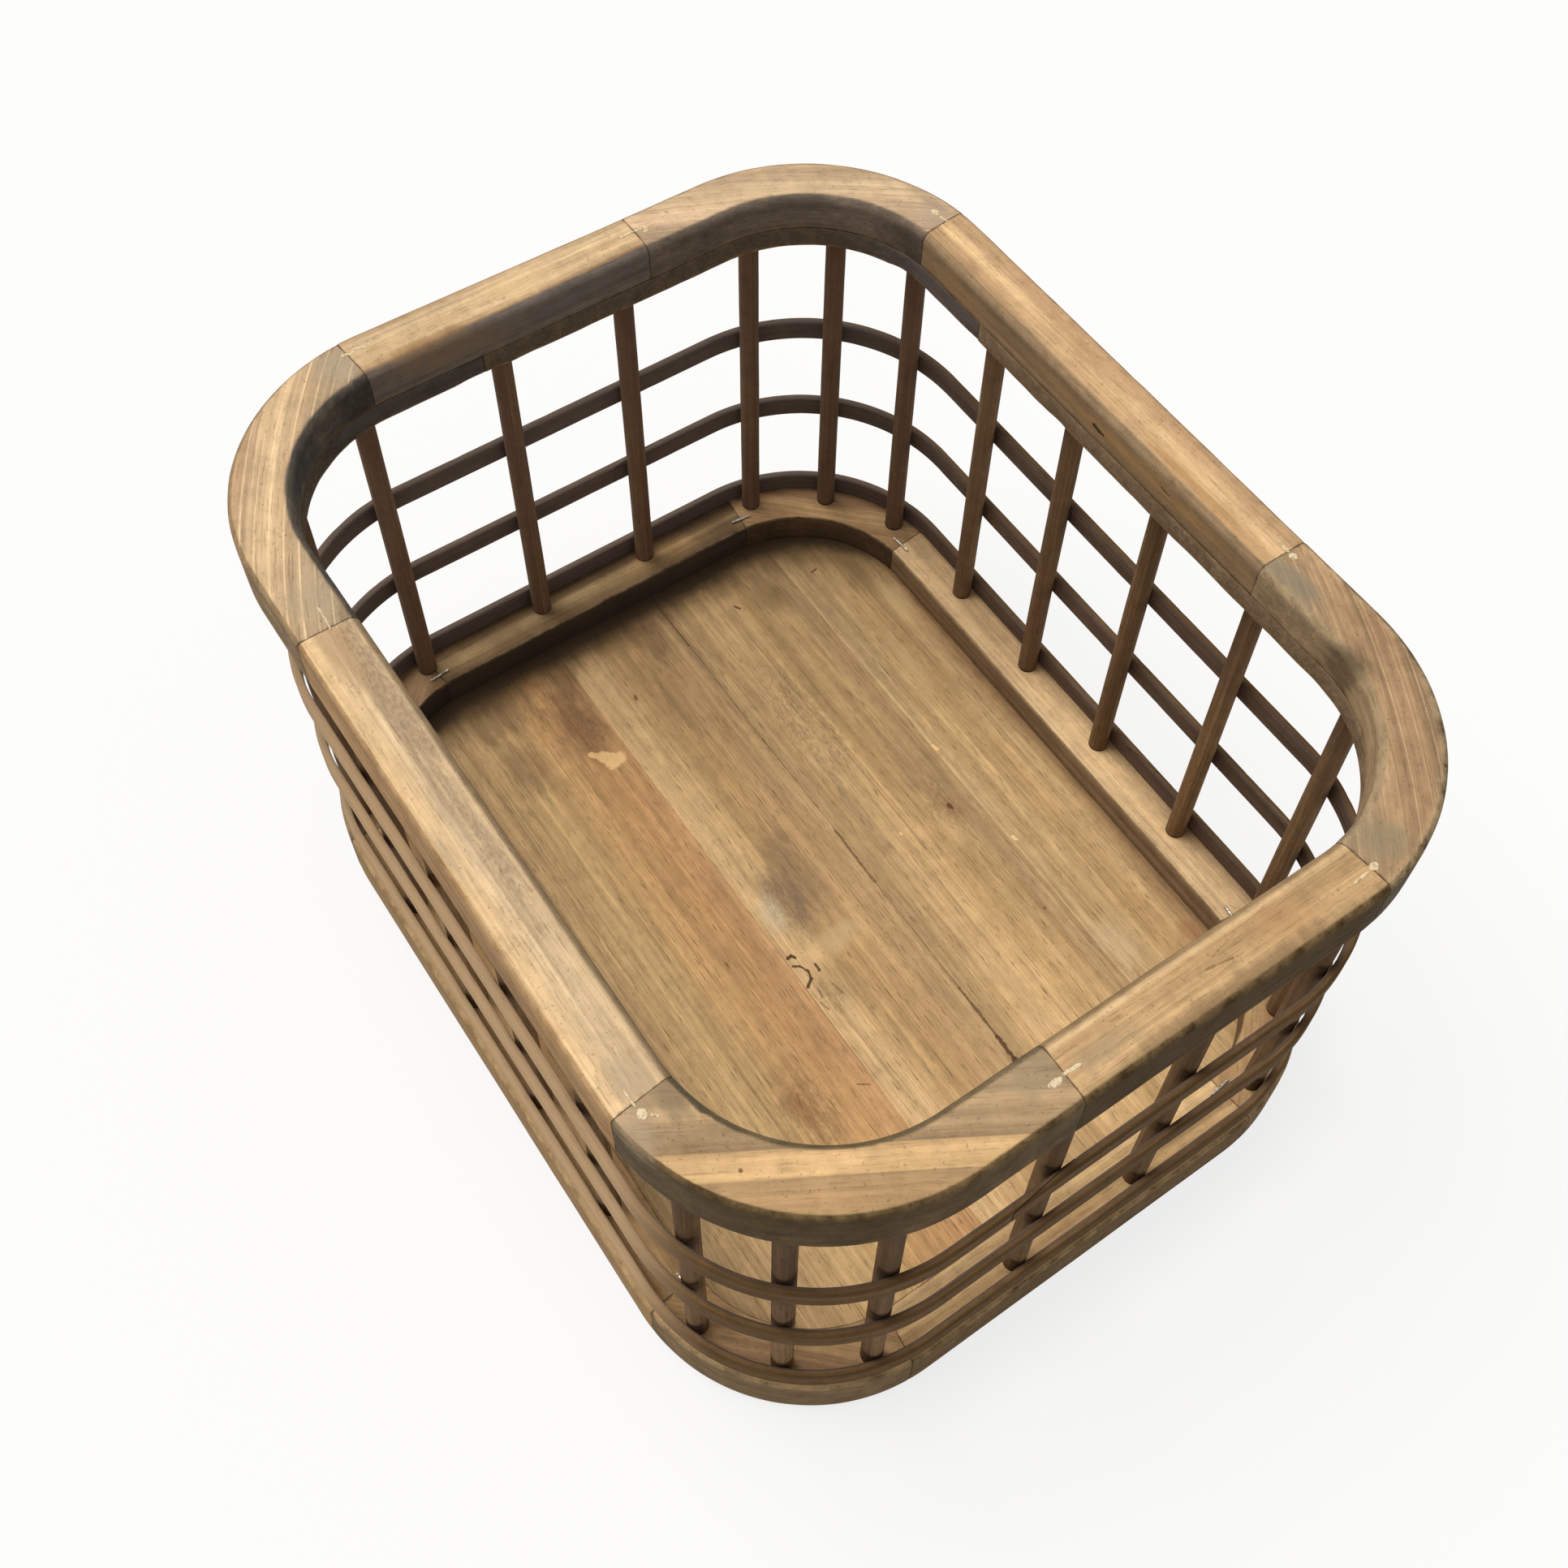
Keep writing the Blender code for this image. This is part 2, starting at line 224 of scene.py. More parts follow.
def feed(inputs, values):
    for key, value in values.items():
        if isinstance(value, bpy.types.NodeSocket):
            canvas["tree"].links.new(value, inputs[key])
        else:
            inputs[key].default_value = value


def put(kind, sockets={}, **settings):
    node = canvas["tree"].nodes.new(kind)
    for key, value in settings.items():
        setattr(node, key, value)
    feed(node.inputs, sockets)
    return node


def calc(operation, a, b=0.0, clamp=False):
    return put("ShaderNodeMath", {0: a, 1: b}, operation=operation, use_clamp=clamp).outputs[0]


def plus(a, b):
    return calc("ADD", a, b)


def minus(a, b):
    return calc("SUBTRACT", a, b)


def times(a, b):
    return calc("MULTIPLY", a, b)


def hypot(a, b):
    return calc("SQRT", plus(times(a, a), times(b, b)))


def vectorCalc(operation, a, b):
    return put("ShaderNodeVectorMath", {0: a, 1: b}, operation=operation).outputs["Vector"]


def measured(operation, a, b=(0, 0, 0)):
    return put("ShaderNodeVectorMath", {0: a, 1: b}, operation=operation).outputs["Value"]


def scaled(vector, scale):
    return put("ShaderNodeVectorMath", {0: vector, "Scale": scale}, operation="SCALE").outputs["Vector"]


def stretched(vector, x, y, z):
    return vectorCalc("MULTIPLY", vector, (x, y, z))


def parts(vector):
    return put("ShaderNodeSeparateXYZ", {0: vector}).outputs


def joined(x, y, z=0.0):
    return put("ShaderNodeCombineXYZ", {0: x, 1: y, 2: z}).outputs[0]


def blend(factor, a, b, mode="MIX"):
    return put("ShaderNodeMix", {0: factor, 6: a, 7: b}, data_type="RGBA", blend_type=mode).outputs[2]


def remap(value, low, high, toLow=0.0, toHigh=1.0, kind="LINEAR"):
    sockets = {"Value": value, "From Min": low, "From Max": high, "To Min": toLow, "To Max": toHigh}
    return put("ShaderNodeMapRange", sockets, interpolation_type=kind).outputs["Result"]


def ease(value, low, high, toLow=0.0, toHigh=1.0):
    return remap(value, low, high, toLow, toHigh, "SMOOTHSTEP")


def noiseOn(vector, scale=1.0, detail=2.0, rough=0.5, output="Fac"):
    sockets = {"Vector": vector, "Scale": scale, "Detail": detail, "Roughness": rough}
    return put("ShaderNodeTexNoise", sockets).outputs[output]


def rampOn(factor, stops):
    node = put("ShaderNodeValToRGB", {"Fac": factor})
    ramp = node.color_ramp
    while len(ramp.elements) < len(stops):
        ramp.elements.new(0.5)
    for element, (place, *tone) in zip(ramp.elements, stops):
        element.position = place
        element.color = rgb(*tone)
    return node.outputs["Color"]


def attribute(name, output="Vector"):
    return put("ShaderNodeAttribute", attribute_name=name).outputs[output]


def objectPlace():
    return put("ShaderNodeTexCoord").outputs["Object"]


def surfaceNormal():
    return put("ShaderNodeNewGeometry").outputs["Normal"]


def newMaterial(name):
    material = bpy.data.materials.new(name)
    material.use_nodes = True
    canvas["tree"] = material.node_tree
    return material, material.node_tree.nodes["Principled BSDF"].inputs


def bumpFrom(height, strength, depth):
    return put("ShaderNodeBump", {"Height": height, "Strength": strength, "Distance": depth}).outputs["Normal"]


def newSocket(tree, way, label, kind):
    return tree.interface.new_socket(label, in_out=way, socket_type="NodeSocket" + kind)


# A shared effect: build takes the inputs by name and returns masks by name
def sharedEffect(build, inputs):
    tree = canvas["tree"] = bpy.data.node_groups.new(build.__name__, "ShaderNodeTree")
    for label, value in inputs.items():
        newSocket(tree, "INPUT", label, "Vector" if isinstance(value, tuple) else "Float").default_value = value
    masks = build(tree.nodes.new("NodeGroupInput").outputs)
    for label in masks:
        newSocket(tree, "OUTPUT", label, "Float")
    feed(tree.nodes.new("NodeGroupOutput").inputs, masks)
    return tree


def use(name, sockets):
    return put("ShaderNodeGroup", sockets, node_tree=effects[name]).outputs


# Growth rings round a pith line that runs along the board
def growthRings(given):
    place = parts(given["Board"])
    wander = noiseOn(stretched(given["Board"], 5, 30, 30))
    radius = plus(hypot(minus(place["Y"], given["Pith Across"]), minus(place["Z"], given["Pith Up"])),
                  times(minus(wander, 0.5), given["Warp"]))
    count = calc("DIVIDE", radius, given["Ring Width"])
    part = calc("FRACT", count)
    tone = put("ShaderNodeTexWhiteNoise", {"W": calc("FLOOR", count)}, noise_dimensions="1D").outputs["Value"]
    return {"Tone": tone, "Late": times(ease(part, given["Late From"], 0.93), ease(part, 1.0, 0.93))}


# Fibres, broad streaks and short dark pores along the board, and thin lines, +1 where they are dark
# and -1 where they are pale
def woodFibre(given):
    def threads(along, across, detail, rough=0.5):
        return noiseOn(stretched(given["Board"], along, across, across), 1.0, detail, rough)

    line = threads(4, 430, 2.0, 0.6)
    return {"Fibre": threads(28, 900, 3.0, 0.6), "Streak": threads(6, 170, 2.0),
            "Pore": remap(threads(90, 1300, 1.0), 0.64, 0.74),
            "Line": minus(remap(line, 0.54, 0.62), remap(line, 0.46, 0.38))}


# Where the surface cuts across the fibres
def endGrain(given):
    return {"Mask": ease(calc("ABSOLUTE", measured("DOT_PRODUCT", surfaceNormal(), given["Grain"])), 0.35, 0.8)}


# Age: soft stains, fine dirt, small specks, and bare wood on rubbed arrises
def ageMarks(given):
    place = given["Position"]
    bare = calc("MULTIPLY", ease(given["Edge"], 0.25, 0.9), remap(noiseOn(place, 120.0, 5.0, 0.7), 0.62, 0.38), True)
    return {"Stain": ease(noiseOn(place, 14.0, 3.0, 0.55), 0.42, 0.68),
            "Dirt": remap(noiseOn(place, 120.0, 4.0, 0.7), 0.45, 0.72),
            "Speck": remap(noiseOn(place, 650.0, 1.0), 0.68, 0.76), "Bare": times(bare, given["Rub"])}


# A knot: a dark core, drawn out along the board, and a soft halo
def knotMark(given):
    ragged = noiseOn(given["Position"], 90.0, output="Color")
    away = parts(vectorCalc("ADD", vectorCalc("SUBTRACT", given["Position"], given["Centre"]),
                            stretched(vectorCalc("SUBTRACT", ragged, (0.5, 0.5, 0.5)), 0.008, 0.008, 0.0)))
    reach = calc("DIVIDE", hypot(calc("DIVIDE", away["X"], given["Stretch"]), away["Y"]), given["Size"])
    return {"Core": ease(reach, 1.0, 0.55), "Halo": ease(reach, 3.2, 0.8)}


# A patch with a ragged edge, for stains, smudges, pale places and chips
def raggedPatch(given):
    away = vectorCalc("DIVIDE", vectorCalc("SUBTRACT", given["Position"], given["Centre"]), given["Reach"])
    ragged = noiseOn(stretched(given["Position"], 40, 120, 120), 1.0, 4.0, 0.65)
    length = plus(measured("LENGTH", away), times(minus(ragged, 0.5), times(given["Soft"], 2.0)))
    return {"Mask": ease(length, 1.15, minus(1.15, given["Soft"]))}


# A crack or scratch from one place to another
def scratchMark(given):
    span = vectorCalc("SUBTRACT", given["To"], given["From"])
    away = vectorCalc("SUBTRACT", given["Position"], given["From"])
    share = calc("DIVIDE", measured("DOT_PRODUCT", away, span), measured("DOT_PRODUCT", span, span), True)
    ragged = times(minus(noiseOn(given["Position"], 420.0, 2.0, 0.6), 0.5), given["Width"])
    length = plus(measured("LENGTH", vectorCalc("SUBTRACT", away, scaled(span, share))),
                  times(ragged, given["Ragged"]))
    return {"Mask": ease(calc("DIVIDE", length, given["Width"]), 0.7, 0.4)}


nowhere = (0, 0, 0)
effects = {
    "patch": sharedEffect(raggedPatch, {"Position": nowhere, "Centre": nowhere, "Reach": (0.02, 0.01, 0.02),
                                        "Soft": 0.8}),
    "scratch": sharedEffect(scratchMark, {"Position": nowhere, "From": nowhere, "To": (0.01, 0, 0),
                                          "Width": 0.001, "Ragged": 1.2}),
    "rings": sharedEffect(growthRings, {"Board": nowhere, "Pith Across": 0.0, "Pith Up": -0.05,
                                        "Ring Width": 0.004, "Warp": 0.003, "Late From": 0.45}),
    "fibre": sharedEffect(woodFibre, {"Board": nowhere}),
    "end": sharedEffect(endGrain, {"Grain": nowhere}),
    "age": sharedEffect(ageMarks, {"Position": nowhere, "Edge": 0.0, "Rub": 0.5}),
    "knot": sharedEffect(knotMark, {"Position": nowhere, "Centre": nowhere, "Size": 0.006, "Stretch": 2.0})}
print("shared effects ready")


# What a wood is when its own dictionary says nothing else. A band is a place across the board, 0 to 1,
# and its tone. In millimetres: patches are centre, reach, then colour, strength and softness; pits are
# centre and reach; scratches are from, to and width, then colour and strength.
plainWood = {
    "bands": [(0, 205, 165, 115), (1, 205, 165, 115)], "span": (0.0, 0.03), "bandWander": 0.002,
    "pith": (0.01, 0.20), "ringWidth": 0.004, "ringWarp": 0.003, "ringTone": 0.12, "ringColor": (140, 100, 60),
    "late": 0.25, "lateFrom": 0.45, "lateColor": (150, 108, 66), "fibre": 0.22, "streak": 0.3, "pore": 0.22,
    "line": 0.14, "mottle": 0.1, "stain": 0.25, "stainColor": (140, 112, 78), "dirt": 0.18,
    "dirtColor": (80, 62, 44), "outer": 0.75, "outerColor": (120, 96, 66), "inner": 0.6,
    "innerColor": (110, 86, 58), "end": 0.7, "endColor": (92, 78, 58), "rub": 0.5, "bareColor": (232, 200, 152),
    "joint": 0.5, "jointColor": (70, 54, 40), "pitColor": (112, 94, 74), "roughness": 0.66, "bump": 0.5,
    "bumpDepth": 0.0006, "patches": [], "pits": [], "scratches": [],
}


def woodSurface(look):
    board, edge = attribute("board"), attribute("edge", "Fac")
    facing, grain = attribute("facing", "Fac"), attribute("grain")
    position = objectPlace()
    rings = use("rings", {
        "Board": board, "Pith Across": look["pith"][0], "Pith Up": look["pith"][1],
        "Ring Width": look["ringWidth"], "Warp": look["ringWarp"], "Late From": look["lateFrom"]})
    fibre = use("fibre", {"Board": board})
    age = use("age", {"Position": position, "Edge": edge, "Rub": look["rub"]})
    wander = noiseOn(stretched(board, 7, 40, 40), 1.0, 3.0, 0.55)
    across = plus(parts(board)["Y"], times(minus(wander, 0.5), look["bandWander"] * 2))
    color = rampOn(remap(across, *look["span"]), look["bands"])
    # the face colours, painted shade among them, creep over the arrises, unevenly
    creep = noiseOn(position, 150.0, 5.0, 0.75)
    facing = plus(facing, times(minus(creep, 0.5), times(calc("ABSOLUTE", facing), 0.55)))
    patch = remap(noiseOn(position, 38.0, 4.0, 0.65), 0.3, 0.6, 0.86, 1.0)
    for name, mask in (("ring", rings["Tone"]), ("late", rings["Late"]), ("stain", age["Stain"])):
        color = blend(times(mask, look["ringTone" if name == "ring" else name]), color, look[name + "Color"])
    # the outer and inner face colours hold painted shade as well as the wood's own darker faces: darker and greyer on
    # sides turned from the key light
    for name, mask in (("outer", ease(facing, 0.2, 0.55)), ("inner", ease(facing, -0.2, -0.55)),
                       ("end", use("end", {"Grain": grain})["Mask"])):
        color = blend(times(times(mask, look[name]), patch), color, look[name + "Color"])
    mottle = noiseOn(stretched(position, 60, 95, 95), 1.0, 5.0, 0.68)
    for mask, low, high, pale, dark in (
            (fibre["Streak"], 0.32, 0.68, look["streak"] * 0.45, look["streak"] * 0.55),
            (fibre["Fibre"], 0.3, 0.7, look["fibre"] * 0.5, look["fibre"] * 0.5),
            (fibre["Line"], -1, 1, look["line"] * 0.6, look["line"]),
            (mottle, 0.32, 0.68, look["mottle"], look["mottle"])):
        color = blend(1.0, color, remap(mask, low, high, 1 + pale, 1 - dark), "MULTIPLY")
    for mask, strength in ((fibre["Pore"], look["pore"]), (age["Dirt"], look["dirt"]), (age["Speck"], 0.3)):
        color = blend(times(mask, strength), color, look["dirtColor"])
    color = blend(age["Bare"], color, look["bareColor"])
    uneven = times(minus(noiseOn(position, 260.0, 3.0, 0.6), 0.35), 0.003)
    joint = ease(plus(attribute("toEnd", "Fac"), uneven), 0.0011, 0.0002)
    color = blend(times(joint, look["joint"]), color, look["jointColor"])
    rough = remap(age["Dirt"], 0, 1, look["roughness"], min(1, look["roughness"] + 0.15))
    height = minus(times(fibre["Fibre"], 0.5), fibre["Pore"])
    height = minus(minus(height, times(age["Speck"], 0.8)), times(rings["Late"], -0.25))
    return color, rough, height, position


def metres(values):
    return [value / 1000 for value in values]


def woodMaterial(name, look, extra=None):
    look = {**plainWood, **look}
    look.update({key: rgb(*tone) for key, tone in look.items() if key.endswith("Color")})
    material, shader = newMaterial(name)
    color, rough, height, position = woodSurface(look)

    def patchMask(place, soft):
        place = metres(place)
        return use("patch", {"Position": position, "Centre": place[:3], "Reach": place[3:], "Soft": soft})["Mask"]

    for *place, tint, strength, soft in look["patches"]:
        color = blend(times(patchMask(place, soft), strength), color, rgb(*tint))
    for *place, width, tint, strength in look["scratches"]:
        place = metres(place)
        mask = use("scratch", {"Position": position, "From": place[:3], "To": place[3:], "Width": width / 1000,
                               "Ragged": 1.2 if width < 3 else 0.5})["Mask"]
        mask = times(mask, strength)
        color = blend(mask, color, rgb(*tint))
        height = minus(height, times(mask, 1.5))
    for place in look["pits"]:
        speckle = noiseOn(stretched(position, 300, 620, 620), 1.0, 3.0, 0.6)
        mask = times(patchMask(place, 0.7), remap(speckle, 0.42, 0.68))
        color = blend(times(mask, 0.36), color, look["pitColor"])
        height = minus(height, times(mask, 1.6))
    if extra:
        color = extra(color, position)
    feed(shader, {"Base Color": color, "Roughness": rough, "Specular IOR Level": 0.04,
                  "Normal": bumpFrom(height, look["bump"], look["bumpDepth"])})
    return material


# Section of the rim: inset, height, round, wear. The liner stands in its step. The round of the
# outer top arris changes from joint to joint; boardTurn is how far round each bend a block's
# timber runs square to the bend's middle.
rim = {
    "tail": 0.047, "railBend": math.radians(6), "topDrop": 0.0003, "boardTurn": math.radians(59.3),
    "rounds": (0.0034, 0.003, 0.0044, 0.0046, 0.0062, 0.0072, 0.0078, 0.006), "bow": 1.05,
}


def rimSection(outerRound):
    bottom, top = plan["rimBottom"], plan["rimTop"]
    return [(0, bottom, 0.003, 0.5), (0, top, outerRound, 0.8), (0.030, top, 0.0064, 0.5),
            (0.030, 0.2823, 0.0005, 0.9), (0.0227, 0.2823, 0.0003, 0.0), (0.0227, bottom, 0.0005, 0.3)]


# The gap of a joint in a bend, as an angle
seam = plan["gap"] / (plan["corner"] - plan["middle"])

# Bands run from the outer face (in the blocks, from the outermost point of the bend) inward.
# The outer and inner face colours hold painted light and shade: darker and greyer on the sides turned from the key
# light, lighter on those turned to it.
rimLooks = {
    "rim_rail_front": {
        "bandWander": 0.0008, "ringWidth": 0.006, "ringTone": 0.05, "late": 0.08, "stain": 0.12, "rub": 0.2,
        "bands": [(0.02, 156, 120, 80), (0.1, 246, 208, 156), (0.25, 238, 202, 154), (0.35, 226, 194, 150),
            (0.47, 238, 206, 162), (0.5, 206, 177, 139), (0.7, 214, 184, 144), (0.8, 222, 190, 148),
            (0.9, 190, 164, 128), (1, 168, 144, 110)], "outerColor": (166, 131, 92), "outer": 0.9,
        "innerColor": (110, 88, 62), "bareColor": (240, 208, 158),
        "patches": [(-60, -183.5, 304, 55, 6, 20, (166, 142, 114), 0.7, 0.7),
            (20, -183.5, 304, 40, 4, 20, (172, 148, 120), 0.5, 0.8),
            (-90, -190, 304, 35, 10, 20, (184, 152, 114), 0.8, 0.8),
            (10, -191, 304, 40, 3.5, 20, (172, 150, 122), 0.5, 0.8),
            (148, -190, 304, 12, 12, 20, (184, 160, 128), 0.7, 0.9),
            (30, -200, 304, 20, 2, 20, (168, 150, 124), 0.4, 0.9)],
        "pits": [(-60, -183, 304, 60, 6.5, 20), (30, -184, 304, 50, 4.5, 20)]},
    "rim_rail_right": {
        "bandWander": 0.0022, "ringWidth": 0.007, "ringTone": 0.08, "late": 0.12, "stain": 0.15, "rub": 0.3,
        "bands": [(0.03, 104, 80, 54), (0.12, 196, 164, 118), (0.22, 210, 172, 126), (0.32, 206, 170, 122),
            (0.55, 206, 168, 121), (0.76, 198, 162, 116), (0.8, 214, 180, 134), (0.92, 218, 184, 138),
            (1, 176, 146, 104)], "outerColor": (71, 55, 30), "outer": 1, "innerColor": (110, 88, 60),
        "bareColor": (206, 170, 122),
        "patches": [(238, 62, 304, 10, 16, 20, (186, 140, 96), 0.4, 0.8),
            (249, 30, 304, 4, 70, 20, (130, 104, 74), 0.6, 0.9),
            (241, -35, 304, 8, 20, 20, (170, 146, 112), 0.6, 0.9)],
        "scratches": [(238, 22, 304, 240, 34, 304, 1.2, (120, 88, 58), 0.6),
            (235, 28, 304, 233, 40, 304, 0.8, (120, 88, 58), 0.5),
            (243, -10, 304, 244, -2, 304, 0.6, (140, 108, 74), 0.5)]},
    "rim_rail_back": {
        "bandWander": 0.0024, "ringWidth": 0.0055, "ringTone": 0.12, "late": 0.2, "stain": 0.22, "rub": 0.35,
        "bands": [(0, 170, 134, 98), (0.25, 208, 170, 128), (0.42, 214, 176, 132), (0.5, 236, 198, 148),
            (0.64, 234, 196, 146), (0.72, 212, 174, 128), (0.84, 204, 168, 126), (0.9, 180, 147, 108),
            (1, 154, 124, 90)], "lateColor": (160, 116, 76), "ringColor": (160, 118, 82), "outerColor": (120, 96, 68),
        "innerColor": (134, 112, 86), "inner": 0.85, "bareColor": (226, 190, 140),
        "patches": [(-50, 191, 304, 50, 6, 20, (178, 140, 100), 0.6, 0.9),
            (50, 181, 302, 60, 4, 10, (176, 132, 84), 0.6, 0.9), (20, 174.8, 292, 90, 4, 6, (166, 130, 84), 0.6, 0.9),
            (-120, 174.8, 290, 30, 4, 8, (150, 118, 80), 0.6, 0.9)],
        "scratches": [(-15, 174.8, 290.5, -9, 174.8, 289.5, 2.2, (54, 38, 28), 0.9),
            (35, 174.8, 293, 40, 174.8, 292.5, 1.2, (80, 56, 40), 0.7),
            (-90, 176.5, 299.5, 20, 176.5, 299.8, 0.8, (98, 70, 46), 0.5)]},
    "rim_rail_left": {
        "bandWander": 0.0026, "ringWidth": 0.006, "ringTone": 0.1, "late": 0.16, "stain": 0.2, "rub": 0.35,
        "bands": [(0.1, 170, 140, 104), (0.28, 220, 190, 150), (0.36, 230, 198, 152), (0.55, 218, 184, 140),
            (0.76, 220, 188, 144), (0.83, 194, 160, 120), (0.91, 118, 94, 70)], "outerColor": (130, 106, 76),
        "innerColor": (104, 97, 92), "inner": 0.95, "bareColor": (200, 166, 124),
        "patches": [(-240, -20, 304, 10, 30, 20, (226, 192, 142), 0.5, 0.9),
            (-228, -75, 304, 5, 30, 20, (150, 112, 70), 0.6, 0.9),
            (-224.5, -60, 295, 6, 45, 12, (122, 102, 80), 0.6, 0.9)]},
    "rim_corner_front_right": {
        "bandWander": 0.0005, "ringWidth": 0.011, "ringTone": 0.05, "late": 0.06, "stain": 0.12, "pore": 0.12,
        "fibre": 0.16, "line": 0.08,
        "bands": [(0, 200, 164, 118), (0.055, 196, 158, 112), (0.07, 184, 148, 106), (0.208, 180, 146, 106),
            (0.213, 226, 186, 132), (0.348, 218, 178, 128), (0.353, 168, 140, 106), (0.48, 182, 152, 114),
            (0.55, 196, 164, 124), (0.59, 172, 146, 112), (0.8, 158, 134, 104)], "outerColor": (73, 58, 35),
        "outer": 1, "end": 0.5, "endColor": (96, 84, 62), "innerColor": (92, 80, 58), "inner": 0.9,
        "bareColor": (206, 170, 120), "rub": 0.25,
        "scratches": [(150, -175.2, 303.5, 174.3, -171.2, 303.5, 5.5, (92, 82, 64), 0.85),
            (174.3, -171.2, 303.5, 186.5, -165.5, 303.5, 4.5, (92, 80, 60), 0.85),
            (186.5, -165.5, 303.5, 199, -156.5, 303.5, 3, (104, 88, 64), 0.7)],
        "patches": [(168, -196, 304, 16, 9, 20, (176, 154, 126), 0.6, 0.9),
            (165, -181, 304, 14, 5, 20, (128, 110, 84), 0.6, 0.8),
            (202.3, -174.1, 304, 1, 0.9, 10, (110, 80, 52), 0.8, 0.3),
            (236, -63, 304, 10, 12, 20, (160, 140, 110), 0.5, 0.9)]},
    "rim_corner_back_right": {
        "bandWander": 0.0012, "ringWidth": 0.0066, "ringTone": 0.2, "late": 0.65, "stain": 0.3, "lateFrom": 0.84,
        "bands": [(0.04, 140, 116, 90), (0.16, 186, 150, 112), (0.21, 170, 136, 102), (0.29, 170, 138, 104),
            (0.33, 202, 164, 122), (0.45, 184, 150, 114), (0.56, 168, 140, 108), (0.72, 156, 136, 106)],
        "lateColor": (216, 184, 138), "ringColor": (146, 110, 84), "outerColor": (70, 58, 38), "outer": 1, "end": 0.8,
        "endColor": (96, 86, 66), "innerColor": (160, 137, 105), "inner": 0.9,
        "patches": [(235, 122, 304, 13, 16, 20, (146, 130, 102), 0.75, 0.9),
            (115, 182, 304, 20, 8, 20, (138, 126, 104), 0.75, 0.9),
            (160, 175, 290, 16, 8, 30, (92, 78, 58), 0.8, 0.9)]},
    "rim_corner_back_left": {
        "bandWander": 0.0014, "ringWidth": 0.0056, "ringTone": 0.12, "late": 0.4, "stain": 0.25, "lateFrom": 0.7,
        "bands": [(0.1, 196, 166, 130), (0.22, 206, 176, 140), (0.28, 220, 190, 150), (0.36, 204, 174, 138),
            (0.5, 208, 176, 142), (0.56, 188, 160, 128), (0.7, 172, 146, 120)], "lateColor": (232, 202, 156),
        "ringColor": (176, 140, 104), "outerColor": (130, 106, 76), "outer": 0.92, "end": 0.6,
        "endColor": (70, 60, 48), "innerColor": (102, 91, 81), "inner": 1, "bareColor": (200, 166, 124), "rub": 0.3,
        "patches": [(-165, 188, 304, 14, 14, 20, (178, 156, 130), 0.6, 0.9),
            (-185, 193, 304, 30, 6, 20, (160, 134, 112), 0.5, 0.9)]},
    "rim_corner_front_left": {
        "bandWander": 0.001, "ringWidth": 0.0066, "ringTone": 0.16, "late": 0.8, "stain": 0.15, "lateFrom": 0.8,
        "bands": [(0.06, 186, 152, 116), (0.12, 204, 172, 134), (0.2, 224, 190, 147), (0.28, 222, 190, 147),
            (0.35, 188, 158, 122), (0.5, 190, 164, 131), (0.6, 176, 154, 124), (0.7, 160, 138, 108)],
        "lateColor": (240, 208, 162), "ringColor": (180, 144, 106), "outerColor": (136, 112, 82), "outer": 0.92,
        "end": 0.7, "endColor": (48, 46, 42), "innerColor": (70, 69, 66), "inner": 1, "bareColor": (190, 162, 124),
        "rub": 0.3,
        "patches": [(-238, -118, 304, 12, 14, 20, (176, 158, 132), 0.7, 0.9),
            (-120, -187, 304, 14, 14, 20, (176, 156, 126), 0.6, 0.9)]},
}

for k in range(4):
    half, ahead = halfStraight(k), halfStraight(k + 1)
    sections = [rimSection(rim["rounds"][(2 * k + i) % 8]) for i in range(3)]
    name = "rim_rail_" + sideNames[k]
    path = [("side", k, rim["tail"] - half + plan["gap"] / 2, half), ("bend", k, 0, rim["railBend"])]
    sweptPiece(name, sections[0], path, sideStation(k, 0), woodMaterial(name, rimLooks[name]), "rim_wood",
               drop=rim["topDrop"], lastCorners=sections[1])
    name = "rim_corner_" + cornerNames[k]
    path = [("bend", k, rim["railBend"] + seam, quarter),
            ("side", k + 1, -ahead, rim["tail"] - ahead - plan["gap"] / 2)]
    look = {"span": (0, 0.08), "pith": (-0.14, 0.27), "ringWarp": 0.0015, **rimLooks[name]}
    sweptPiece(name, sections[1], path, bendStation(k, rim["boardTurn"]), woodMaterial(name, look), "rim_wood",
               drop=rim["topDrop"], bow=0.0 if k == 0 else rim["bow"], lastCorners=sections[2])
print("rim: 4 rails and 4 blocks")
